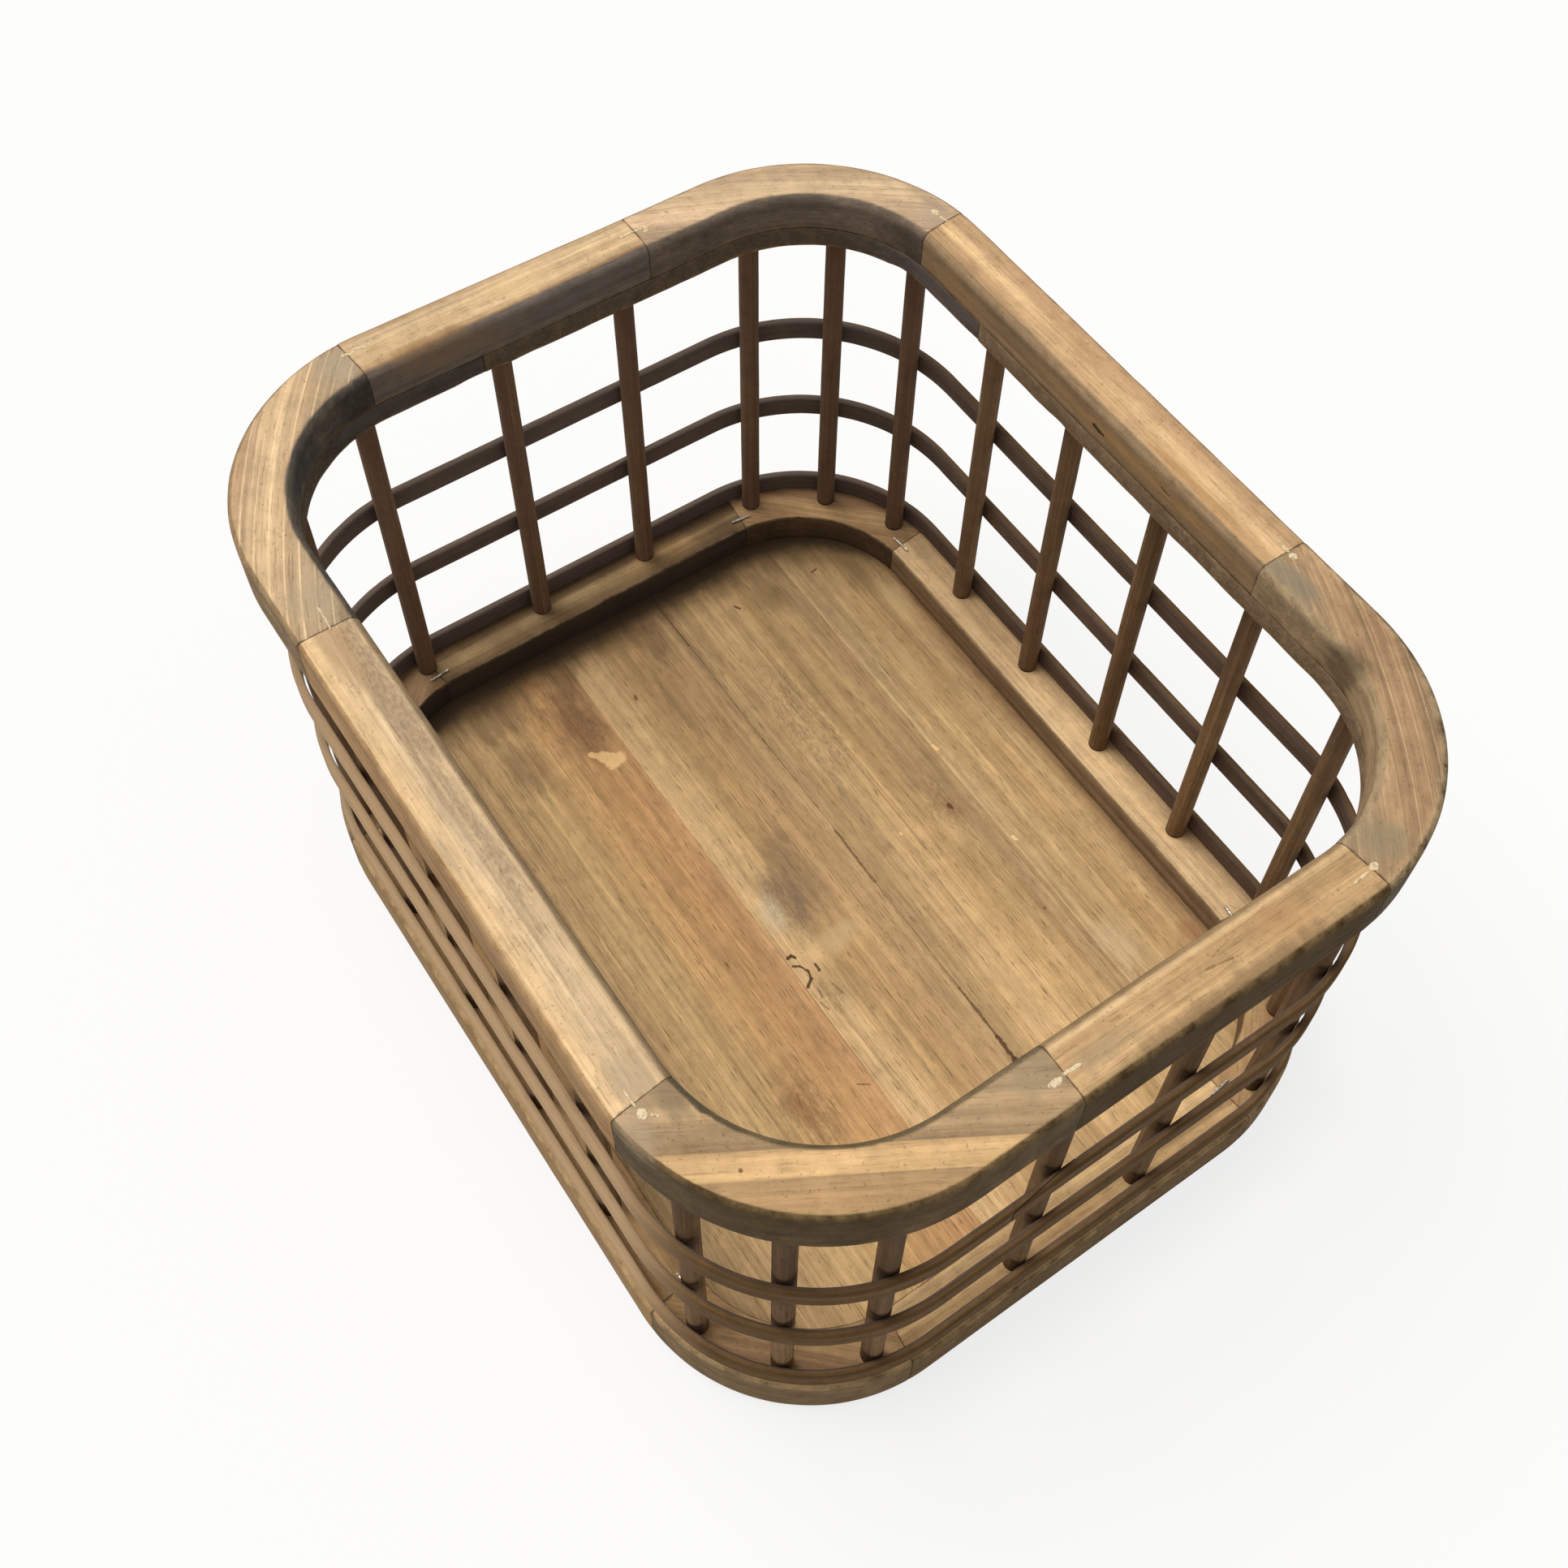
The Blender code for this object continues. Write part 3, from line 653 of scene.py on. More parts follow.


# The changes are for the front, right, back and left rail, and for the blocks from the front right one on
# Their outer and inner face colours hold painted light and shade in the same way as the rim's
base = {
    "section": [(0.002, 0, 0.009, 0.3), (0.002, 0.040, 0.003, 1.0), (0.0315, 0.040, 0.0013, 0.8),
                (0.0315, 0.0203, 0.0004, 0.3), (0.0225, 0.0203, 0.0004, 0.0), (0.0225, 0, 0.0006, 0.2)],
    "rail": {"bands": [(0, 186, 150, 104), (0.3, 200, 164, 116), (0.65, 216, 178, 126), (0.94, 226, 190, 138),
                       (1, 160, 124, 82)],
             "span": (0.002, 0.0315), "outerColor": (140, 118, 88), "outer": 0.85, "bandWander": 0.003,
             "innerColor": (98, 79, 55), "inner": 0.95, "stain": 0.35, "stainColor": (140, 108, 72),
             "pith": (0.02, 0.16), "bareColor": (216, 184, 136), "rub": 0.4},
    "railChanges": (
        {"outerColor": (146, 118, 82), "bands": [(0, 178, 144, 100), (0.3, 180, 146, 102), (0.65, 186, 150, 106),
                                                 (1, 160, 126, 86)]},
        {"outerColor": (85, 68, 43)},
        {"stain": 0.15, "innerColor": (132, 110, 84),
         "bands": [(0, 208, 172, 126), (0.3, 224, 188, 140), (0.65, 236, 198, 148), (0.94, 238, 202, 152),
                   (1, 176, 140, 98)]},
        {"bands": [(0, 104, 82, 58), (0.45, 128, 104, 74), (0.55, 176, 148, 106), (0.75, 150, 124, 88),
                   (1, 110, 86, 62)],
         "innerColor": (62, 55, 48), "stain": 0.6, "stainColor": (78, 62, 46), "rub": 0.3}),
    "block": {"span": (0, 0.075), "bands": [(0, 156, 128, 94), (0.2, 182, 144, 106), (0.33, 204, 166, 118),
                                            (0.5, 184, 146, 104), (1, 170, 134, 94)],
              "end": 0.6, "endColor": (80, 66, 46), "outerColor": (112, 94, 66), "rub": 0.3},
    "blockChanges": (
        {}, {}, {"stain": 0.45, "innerColor": (70, 58, 44)},
        {"bands": [(0, 120, 98, 72), (0.4, 150, 120, 88), (1, 110, 88, 64)], "innerColor": (46, 43, 40),
         "stain": 0.5, "stainColor": (84, 66, 50), "endColor": (54, 46, 38)}),
}
for k in range(4):
    half, lead = halfStraight(k), rim["railBend"]
    wood = woodMaterial("baseRail_" + sideNames[k], {**base["rail"], **base["railChanges"][k]})
    path = [("bend", k + 3, quarter - lead, quarter), ("side", k, -half, half), ("bend", k, 0, lead)]
    sweptPiece("base_rail_" + sideNames[k], base["section"], path, sideStation(k, 0), wood, "base_wood")
    wood = woodMaterial("baseBlock_" + cornerNames[k],
                        {**base["rail"], **base["block"], **base["blockChanges"][k]})
    path = [("bend", k, lead + seam, quarter - lead - seam)]
    sweptPiece("base_corner_" + cornerNames[k], base["section"], path, bendStation(k, quarter / 2), wood,
               "base_wood")
print("base: 4 rails and 4 blocks")


liner = {
    "section": [(0.0230, 0.269, 0.0006, 0.3), (0.0230, 0.282, 0.0004, 0.0), (0.030, 0.282, 0.0005, 0.6),
                (0.030, 0.269, 0.0014, 1.0)],
    "joints": (0.106, 0.047), "wear": {"arris": 0.0006, "chip": 0.0012},
    "wood": {"bands": [(0, 120, 96, 66), (1, 104, 82, 56)], "inner": 0.85, "bareColor": (176, 144, 100),
             "rub": 0.6, "fibre": 0.35, "stain": 0.4, "stainColor": (70, 56, 40)},
    # inner face colours from the front right length on: painted light and shade, pale where the inner faces turn to
    # the key light, grey where they turn away
    "innerColors": ((112, 92, 68), (184, 154, 122), (86, 82, 80), (66, 66, 67)),
}
for k in range(4):
    here, ahead = liner["joints"][k % 2], liner["joints"][(k + 1) % 2]
    wood = woodMaterial("liner_" + cornerNames[k], {**liner["wood"], "innerColor": liner["innerColors"][k]})
    path = [("side", k, here + plan["gap"] / 2, halfStraight(k)), ("bend", k, 0, quarter),
            ("side", k + 1, -halfStraight(k + 1), ahead - plan["gap"] / 2)]
    sweptPiece("liner_" + cornerNames[k], liner["section"], path, sideStation(k, 0), wood, "liner_wood",
               liner["wear"])
print("liner: 4 lengths")


# Bands run across each plank, from its front edge to its back edge. In millimetres: patches (stains,
# smudges, pale places, and by the left wall painted shade with dirt) are x, y, reach along and across, then colour,
# strength and softness; chips are from, to and width; cracks have their strength too; pits are x, y, reach along and
# across; knots are x, y and size, then stretch and strength.
floorBoards = {
    "shares": (0.189, 0.212, 0.195, 0.222, 0.182), "inset": 0.0228, "bottom": 0.006,
    "joints": (0.0004, 0.00006, 0.0001, 0.0001, 0.0001, 0.0004), "step": 0.0035, "arris": 0.00006, "wave": 0.0002,
    "easing": (0, 0.0005, 0.0012, 0.0025), "pith": ((-0.19, 0.10), (-0.06, 0.12), (0.02, -0.09), (0.07, 0.12),
                                                    (0.16, -0.10)),
    "wood": {"bandWander": 0.006, "ringWidth": 0.0052, "ringWarp": 0.014, "ringTone": 0.1, "late": 0.15,
             "stain": 0.12, "stainColor": (150, 120, 86), "dirt": 0.14, "dirtColor": (104, 80, 54), "fibre": 0.3,
             "streak": 0.27, "pore": 0.6, "line": 0.11, "mottle": 0.1, "rub": 0, "outer": 0, "inner": 0,
             "end": 0, "joint": 0},
    "chipTone": (248, 202, 140), "crackTone": (90, 63, 44), "haloTone": (156, 106, 70), "coreTone": (98, 62, 46),
    "leftShadeAndDirtTone": (84, 64, 42), "edgeShadeAndDirtTone": (73, 58, 44),
    "bands": (
        [(0, 182, 152, 109), (0.5, 200, 166, 120), (1, 210, 173, 123)],
        [(0, 212, 176, 125), (0.3, 218, 180, 126), (0.48, 220, 175, 120), (0.58, 206, 162, 111),
         (0.75, 209, 162, 110), (1, 208, 161, 113)],
        [(0, 222, 184, 133), (0.2, 224, 187, 135), (0.34, 204, 167, 118), (0.43, 209, 171, 120),
         (0.52, 194, 156, 108), (0.7, 194, 157, 111), (1, 190, 156, 112)],
        [(0, 182, 149, 106), (0.14, 200, 165, 117), (0.21, 218, 181, 130), (0.5, 214, 176, 124),
         (0.61, 184, 150, 103), (0.71, 210, 173, 122), (0.84, 199, 164, 115), (0.9, 182, 149, 107)],
        [(0, 214, 180, 131), (0.14, 192, 159, 113), (0.27, 206, 171, 121), (0.5, 186, 151, 104),
         (0.71, 217, 180, 129), (0.85, 154, 123, 86)]),
    "patches": ((-165, -52, 35, 13, (124, 88, 66), 0.55, 0.9), (-155, -92, 25, 12, (134, 104, 76), 0.55, 0.9),
        # the dark patches nearest the left wall, x about -186 to -198, are painted shade of the left rim together
        # with dirt
        (-195, -45, 20, 14, (120, 94, 68), 0.5, 0.9), (-198, -90, 22, 30, (122, 96, 68), 0.6, 0.9),
        (-186, 98, 22, 12, (128, 104, 74), 0.6, 0.9), (-190, 18, 20, 12, (118, 92, 64), 0.6, 0.9),
        (-150, 4, 40, 4, (136, 110, 80), 0.6, 0.9), (-10, 0, 50, 14, (132, 108, 82), 0.6, 0.9),
        (4, -14, 30, 12, (126, 104, 84), 0.55, 0.9), (4, -26, 17, 7, (214, 194, 160), 0.6, 0.8),
        (36, -4, 10, 16, (206, 174, 128), 0.6, 0.8), (60, -20, 22, 12, (160, 130, 90), 0.5, 0.9),
        (-20, 52, 50, 6, (146, 118, 86), 0.5, 0.9), (-30, 98, 50, 10, (150, 120, 88), 0.5, 0.9),
        (16, 92, 14, 7, (224, 184, 132), 0.5, 0.9), (147, 163, 12, 8, (146, 100, 68), 0.55, 0.9),
        (130, 126, 22, 12, (206, 178, 140), 0.5, 0.9), (-135, 163, 20, 8, (210, 178, 130), 0.6, 0.9),
        (-95, 140, 30, 6, (206, 172, 126), 0.5, 0.9), (-170, 155, 30, 12, (140, 112, 80), 0.5, 0.9),
        (108, -76, 20, 8, (160, 112, 72), 0.5, 0.9), (125, 60, 60, 10, (196, 160, 118), 0.4, 0.9)),
    "chips": ((-132.2, -43.5, -131.8, -48.5, 8), (-133, -49, -138.5, -51.5, 6.4), (-138.5, -52, -143.5, -56.2, 3.4),
        (-134.5, -45.5, -139.5, -50.5, 4.6), (-35, 116.8, -32, 117.2, 2.2), (41, 118.3, 43.5, 118.7, 1.8),
        (2.5, 65, 3.5, 65.2, 1.6)),
    "cracks": ((31.8, -34.2, 31.3, -31.5, 1.6, 0.95), (31.3, -31.5, 34, -30.3, 1.3, 0.95),
        (37.5, -34.5, 39.5, -31.2, 1.2, 0.9), (39.5, -31.2, 44.5, -28.8, 1.2, 0.9),
        (44.5, -28.8, 49.5, -30, 1.3, 0.95), (49.5, -30, 52.5, -34.5, 1.6, 0.95),
        (43.5, -23.2, 47.5, -23.4, 1.4, 0.9), (56, -30, 62, -31.5, 0.8, 0.5), (58, -22, 66, -20.5, 0.8, 0.5),
        (64, -34, 70, -32.5, 1, 0.5), (135, 34.5, 150, 34.2, 2.2, 0.9), (150, 34.2, 166, 34.6, 2.8, 0.95),
        (100, 34.6, 135, 34.6, 1.1, 0.7), (-20, 34.6, 20, 34.4, 1.4, 0.6), (-218, 34.6, -178, 34.5, 1.2, 0.6),
        (-178, 34.5, -60, 34.5, 0.6, 0.4), (20, 34.5, 100, 34.6, 0.7, 0.4), (-187, 69.5, 0, 71.6, 0.5, 0.35),
        (0, 71.6, 155, 73.8, 0.5, 0.25), (118, -39, 114, -44.5, 0.8, 0.6), (-183, 133.5, -182.5, 130, 1.2, 0.8),
        (-187, 74.5, -184, 76.2, 1.3, 0.8), (100, -74.5, 109, -76.8, 0.8, 0.3), (87, 163, 98, 163.2, 0.9, 0.3)),
    "pits": ((62, -26, 15, 10), (112, -74, 34, 18), (4, -16, 30, 12), (-165, -48, 30, 12), (-90, 62, 60, 20),
        (0, 98, 30, 12)),
    "knots": ((5, 100.5, 2.4, 1.7, 0.85), (89.5, 103.7, 0.9, 1.3, 0.8), (-164, -13, 1, 2, 0.7)),
}


# How far a place lies past the straight part of the sides, along X and along Y
def pastStraight(place):
    return [calc("MAXIMUM", minus(calc("ABSOLUTE", place[axis]), halfStraight(side)), 0.0)
            for side, axis in enumerate("XY")]


def floorDetails(color, position):
    look = floorBoards
    for *place, size, stretch, strength in look["knots"]:
        knot = use("knot", {"Position": position, "Centre": (*metres(place), plan["floorTop"]),
                            "Size": size / 1000, "Stretch": stretch})
        color = blend(times(knot["Halo"], 0.4 * strength), color, rgb(*look["haloTone"]))
        color = blend(times(knot["Core"], strength), color, rgb(*look["coreTone"]))
    # the floor is a little lighter towards the right end; painted shade and dirt lie under the ledge, round the edge
    # of the floor, and wider at the left end, where the left rim's shade falls
    place = parts(position)
    leftward = remap(place["X"], -0.15, -0.21)
    color = blend(1.0, color, ease(place["X"], 0.07, 0.16, 1.0, 1.1), "MULTIPLY")
    ragged = minus(noiseOn(position, 45.0, 4.0, 0.6), 0.5)
    reach = plus(hypot(*pastStraight(place)), times(ragged, 0.02))
    wide = times(times(ease(reach, 0.042, 0.062), leftward), 0.8)
    color = blend(wide, color, rgb(*look["leftShadeAndDirtTone"]))
    near = ease(plus(reach, times(leftward, 0.014)), 0.071, 0.083)
    return blend(times(near, plus(times(leftward, 0.2), 0.68)), color, rgb(*look["edgeShadeAndDirtTone"]))


def floorWood(index, low, high):
    look, level = floorBoards, plan["floorTop"] * 1000

    def here(key, spare):
        return [row for row in look[key] if low - spare < row[1] / 1000 < high + spare]

    cracks = [(x, y, level, endX, endY, level, size, look["crackTone"], strength)
              for x, y, endX, endY, size, strength in here("cracks", 0.002)]
    chips = [(x, y, level, endX, endY, level, size, look["chipTone"], 0.95)
             for x, y, endX, endY, size in here("chips", 0)]
    return woodMaterial("floorPlank" + str(index + 1), {
        **look["wood"], "bands": look["bands"][index], "span": (low, high), "pith": look["pith"][index],
        "patches": [(x, y, level, along, across, 20, *rest) for x, y, along, across, *rest in here("patches", 0.02)],
        "scratches": cracks + chips,
        "pits": [(x, y, level, along, across, 20) for x, y, along, across in here("pits", 0.01)],
    }, floorDetails)


# A board clipped to the rounded outline: a grid on top, the same below, and eased arrises
def boardPiece(name, low, high, material):
    look = floorBoards
    shift = Vector((sum(map(ord, name)) * 1.7, 0, 0))
    edgeX, radius = plan["length"] / 2 - look["inset"], plan["corner"] - look["inset"]
    easing, span = look["easing"], high - low
    rows = round((span - 2 * easing[-1]) / look["step"])
    acrossList = [low + e for e in easing[:-1]]
    acrossList += [low + easing[-1] + (span - 2 * easing[-1]) * i / rows for i in range(rows + 1)]
    acrossList += [high - e for e in reversed(easing[:-1])]
    columns = round(2 * edgeX / look["step"])
    shares = [-1, -0.997] + [-0.99 + 1.98 * i / columns for i in range(columns + 1)] + [0.997, 1]
    vertices, edges = [], []
    for layer in (0, 1):
        for y in acrossList:
            over = max(0, abs(y) - halfStraight(1))
            reachX = edgeX - radius + math.sqrt(max(0, radius * radius - over * over))
            toSide = min(y - low, high - y)
            near = math.exp(-toSide / 0.0009)
            for share in shares:
                x = reachX * share
                wear = near * look["arris"] * (0.6 + 0.8 * noise.noise(Vector((x, y, 0)) * 60 + shift))
                wear += near * 0.0006 * max(0, noise.noise(Vector((x * 26, y * 40, 0)) + shift * 2) - 0.3)
                dip = look["wave"] * (0.5 + 0.5 * noise.noise(Vector((x * 9, y * 24, 0)) + shift))
                inward = wear * 0.35 * (1 if y < (low + high) / 2 else -1) * (1 if toSide < 0.001 else 0)
                z = (look["bottom"] + dip + 0.3 * max(0, wear) if layer
                     else plan["floorTop"] - dip - max(0, wear))
                vertices.append(Vector((x, y + inward, z)))
                edges.append(near * 0.6)
    perRow, perLayer = len(shares), len(shares) * len(acrossList)
    faces = []
    for row in range(0, perLayer - perRow, perRow):
        for a in range(row, row + perRow - 1):
            b = a + perLayer
            faces += [(a, a + 1, a + 1 + perRow, a + perRow), (b, b + perRow, b + 1 + perRow, b + 1)]
    for i in range(perRow - 1):
        a = perLayer - perRow + i
        faces += [(i, i + perLayer, i + 1 + perLayer, i + 1), (a, a + 1, a + 1 + perLayer, a + perLayer)]
    for a in range(0, perLayer - perRow, perRow):
        b = a + perRow - 1
        faces += [(a, a + perRow, a + perRow + perLayer, a + perLayer),
                  (b, b + perLayer, b + perRow + perLayer, b + perRow)]
    addPiece(name, vertices, faces, material, "floor_wood", board=[(v.x + shift.x, v.y, v.z) for v in vertices],
             grain=[(1, 0, 0)] * len(vertices), edge=edges, facing=[0] * len(vertices))


width = plan["width"] - 2 * floorBoards["inset"]
low = -width / 2
for index, share in enumerate(floorBoards["shares"]):
    high = low + width * share
    boardPiece("floor_plank_" + str(index + 1), low + floorBoards["joints"][index] / 2,
               high - floorBoards["joints"][index + 1] / 2, floorWood(index, low, high))
    low = high
print("floor: 5 planks")


vectorKind = "FLOAT_VECTOR"


def shaped(kind, sockets={}, **settings):
    return put("GeometryNode" + kind, sockets, **settings).outputs[0]


# A tree for Geometry Nodes: build takes the inputs by name and returns the geometry
def geometryTree(build, kinds):
    tree = canvas["tree"] = bpy.data.node_groups.new(build.__name__, "GeometryNodeTree")
    for label, kind in {"Geometry": "Geometry", **kinds, "Material": "Material"}.items():
        newSocket(tree, "INPUT", label, kind)
    newSocket(tree, "OUTPUT", "Geometry", "Geometry")
    given = tree.nodes.new("NodeGroupInput").outputs
    shape = shaped("SetShadeSmooth", {"Geometry": build(given), "Shade Smooth": True})
    shape = shaped("RealizeInstances", {"Geometry": shape})
    shape = shaped("SetMaterial", {"Geometry": shape, "Material": given["Material"]})
    feed(tree.nodes.new("NodeGroupOutput").inputs, {"Geometry": shape})
    return tree


# Runs a tree on points or lines, and keeps the result as a plain mesh
def grow(name, tree, points, lines, values, **attributes):
    mesh = bpy.data.meshes.new(name + "_guide")
    mesh.from_pydata(points, lines, [])
    addAttributes(mesh, **attributes)
    guide = linked(name + "_guide", mesh)
    modifier = guide.modifiers.new(name, "NODES")
    modifier.node_group = tree
    for item in tree.interface.items_tree:
        if item.in_out == "INPUT" and item.name in values:
            modifier[item.identifier] = values[item.name]
    shape = bpy.data.meshes.new_from_object(guide.evaluated_get(bpy.context.evaluated_depsgraph_get()))
    bpy.data.objects.remove(guide, do_unlink=True)
    shape.name = name
    return linked(name, shape)


def keep(geometry, name, value, kind="FLOAT", domain="POINT"):
    return shaped("StoreNamedAttribute", {"Geometry": geometry, "Name": name, "Value": value},
                  data_type=kind, domain=domain)


def recall(name, kind="FLOAT"):
    return put("GeometryNodeInputNamedAttribute", {"Name": name}, data_type=kind).outputs["Attribute"]


def pushed(geometry, depth):
    # the surface moves along its normal
    normal = put("GeometryNodeInputNormal").outputs["Normal"]
    return shaped("SetPosition", {"Geometry": geometry, "Offset": scaled(normal, depth)})


dowels = {"radius": 0.00575, "foot": 0.0283, "head": 0.2807, "inset": 0.01449, "wobble": 0.00018, "seed": 7,
          "pitchShares": (0.23, 0.396), "counts": (4, 2), "cornerTurn": math.radians(29),
          "contactShadeAndDirtTone": (40, 30, 24), "leftTone": (88, 70, 64), "underRimShadeTone": (80, 60, 46), "weatherAndShadeTone": (70, 52, 34),
          # how far round the walk some stand from the even pitch, in diameters
          "shifts": {"front_right_1": 0.3, "front_right_2": 0.2, "back_right_3": 0.58, "back_1": 0.42,
                     "back_2": 0.6, "back_3": 0.54, "back_4": 0.35, "back_left_2": 0.16, "back_left_3": 0.35,
                     "left_1": -0.25, "left_2": -0.64, "front_left_1": -1.17}}


def dowelPlaces():
    found = {}
    centre = Vector((dowels["inset"], 0, (dowels["foot"] + dowels["head"]) / 2))
    for k in range(4):
        count = dowels["counts"][k % 2]
        pitch = 2 * halfStraight(k) * dowels["pitchShares"][k % 2]
        for i in range(count):
            name = "%s_%d" % (sideNames[k], i + 1)
            shift = 2 * dowels["radius"] * dowels["shifts"].get(name, 0)
            found["dowel_" + name] = sideStation(k, pitch * (i - (count - 1) / 2) + shift) @ centre
        for i in range(3):
            name = "%s_%d" % (cornerNames[k], i + 1)
            shift = 2 * dowels["radius"] * dowels["shifts"].get(name, 0) / (plan["corner"] - dowels["inset"])
            angle = quarter / 2 + dowels["cornerTurn"] * (i - 1) + shift
            found["dowel_" + name] = bendStation(k, angle) @ centre
    return found


# Turned sticks: each has its own turn, its own length of grain and slightly uneven sides
def dowelRow(given):
    stick = shaped("MeshCylinder", {"Vertices": 28, "Side Segments": 84, "Radius": given["Radius"],
                                    "Depth": given["Length"]})
    place = parts(shaped("InputPosition"))
    stick = keep(stick, "board", joined(place["Z"], place["X"], place["Y"]), vectorKind)
    turn, own = (put("FunctionNodeRandomValue", {0: (0, 0, 0), 1: most, "Seed": given["Seed"]},
                     data_type=vectorKind).outputs[0] for most in ((0, 0, 6.283), (9, 1, 1)))
    row = shaped("InstanceOnPoints", {"Points": given["Geometry"], "Instance": stick, "Rotation": turn})
    row = shaped("RealizeInstances", {"Geometry": keep(row, "own", own, vectorKind, "INSTANCE")})
    row = keep(row, "board", vectorCalc("ADD", recall("board", vectorKind), recall("own", vectorKind)), vectorKind)
    rough = noiseOn(stretched(shaped("InputPosition"), 60, 60, 22))
    return pushed(row, times(times(rough, -2.0), given["Wobble"]))


hoops = {"height": 0.014, "thickness": 0.0045, "round": 0.0014, "innerInset": 0.00845, "scarf": 0.040,
         "wobble": 0.0002, "jointShare": 0.36, "paleTone": (198, 165, 126), "greyTone": (91, 85, 84),
         "lifts": {"lower": (0.0003, 2), "middle": (0.0715, 3), "upper": (0.1365, 1)}}


def dowelDetails(color, position):
    place = parts(position)
    way = [times(past, calc("SIGN", place[axis])) for axis, past in zip("XY", pastStraight(place))]
    way = vectorCalc("NORMALIZE", joined(*way), (0, 0, 0))
    outside = ease(measured("DOT_PRODUCT", surfaceNormal(), way), 0.1, 0.6)
    up = plus(place["Z"], times(noiseOn(position, 170.0), 0.003))
    # painted contact shade and dirt round the foot, and painted contact shade outside over each hoop
    marks = [(plan["baseTop"] + 0.0012, 0.0024, 1.0)]
    for lift, _ in hoops["lifts"].values():
        marks.append((plan["baseTop"] + lift + hoops["height"] + 0.0022, 0.0032, outside))
    for centre, reach, where in marks:
        near = ease(calc("ABSOLUTE", minus(up, centre)), reach, reach * 0.3)
        color = blend(times(times(near, where), 0.75), color, rgb(*dowels["contactShadeAndDirtTone"]))
    color = blend(ease(place["X"], 0.05, -0.24, 0.0, 0.4), color, rgb(*dowels["leftTone"]))
    # painted shade on the top of every dowel, under the rim
    shadeUnderRim = ease(up, plan["rimBottom"] - 0.06, plan["rimBottom"], 0.0, 0.35)
    color = blend(shadeUnderRim, color, rgb(*dowels["underRimShadeTone"]))
    # darker outside, and most of all under the rim: weathering together with painted shade from the rim
    weatherAndShade = ease(up, plan["baseTop"] + 0.03, plan["rimBottom"] - 0.04, 0.1, 0.6)
    return blend(times(weatherAndShade, outside), color, rgb(*dowels["weatherAndShadeTone"]))


dowelWood = woodMaterial("dowelWood", {
    "bands": [(0, 140, 112, 79), (0.5, 122, 96, 68), (1, 146, 116, 82)], "span": (0, 1), "pith": (3.0, 0.0),
    "ringWidth": 0.0024, "ringTone": 0.25, "ringColor": (94, 72, 54), "late": 0.3, "lateColor": (88, 66, 50),
    "stain": 0.35, "stainColor": (92, 70, 58), "fibre": 0.3, "streak": 0.35, "dirt": 0.2, "outer": 0,
    "inner": 0, "end": 0, "joint": 0, "bump": 0.6}, dowelDetails)
places = dowelPlaces()
tree = geometryTree(dowelRow, {"Radius": "Float", "Length": "Float", "Wobble": "Float", "Seed": "Int"})
row = grow("dowels", tree, list(places.values()), [], {
    "Radius": dowels["radius"], "Length": dowels["head"] - dowels["foot"], "Wobble": dowels["wobble"],
    "Seed": dowels["seed"], "Material": dowelWood})
settle(row, list(places))
print("dowels:", len(places))


# A lath bent along the guide line, with both ends sheared into a long scarf
def bentLath(given):
    line = shaped("SetCurveNormal", {"Curve": shaped("MeshToCurve", {0: given["Geometry"]})}, mode="Z_UP")
    line = keep(line, "along", put("GeometryNodeSplineParameter").outputs["Length"])
    line = keep(line, "whole", put("GeometryNodeSplineLength").outputs["Length"])
    line = keep(line, "grain", shaped("InputTangent"), vectorKind)
    profile = shaped("CurvePrimitiveQuadrilateral", {"Width": given["Thickness"], "Height": given["Height"]})
    profile = shaped("FilletCurve", {"Curve": profile, "Count": 5, "Radius": given["Round"]}, mode="POLY")
    profile = shaped("ResampleCurve", {"Curve": profile, "Count": 34})
    profile = keep(profile, "section", shaped("InputPosition"), vectorKind)
    lath = shaped("CurveToMesh", {"Curve": line, "Profile Curve": profile, "Fill Caps": True})
    section = parts(recall("section", vectorKind))
    run, full = recall("along"), recall("whole")
    sideways = calc("DIVIDE", section["X"], times(given["Thickness"], 0.5))
    upward = calc("DIVIDE", section["Y"], times(given["Height"], 0.5))
    edge = times(calc("POWER", calc("ABSOLUTE", sideways), 4.0), calc("POWER", calc("ABSOLUTE", upward), 8.0))
    lath = keep(lath, "board", joined(run, section["X"], section["Y"]), vectorKind)
    lath = keep(keep(lath, "facing", sideways), "edge", edge)
    # the scarf: the outer side of both ends is drawn back along the lath
    reach = times(given["Scarf"], 1.6)
    fromStart = calc("SUBTRACT", 1.0, calc("DIVIDE", run, reach), True)
    fromEnd = calc("SUBTRACT", 1.0, calc("DIVIDE", minus(full, run), reach), True)
    outward = plus(times(sideways, 0.5), 0.5)
    slide = times(times(outward, given["Scarf"]), times(plus(fromStart, fromEnd), -1.0))
    lath = shaped("SetPosition", {"Geometry": lath, "Offset": scaled(recall("grain", vectorKind), slide)})
    spot = shaped("InputPosition")
    bite = times(remap(noiseOn(spot, 130.0, 1.0), 0.6, 0.8), recall("edge"))
    depth = times(plus(noiseOn(spot, 40.0, 3.0), times(bite, 3.0)), given["Wobble"])
    return pushed(lath, times(depth, -1.0))


def hoopDetails(color, position):
    # paler along the front, and greyer at the left end
    place = parts(position)
    pale = times(ease(place["Y"], -0.14, -0.195), ease(place["X"], 0.2, 0.13))
    color = blend(times(pale, 0.75), color, rgb(*hoops["paleTone"]))
    return blend(ease(place["X"], -0.1, -0.23, 0.0, 0.5), color, rgb(*hoops["greyTone"]))


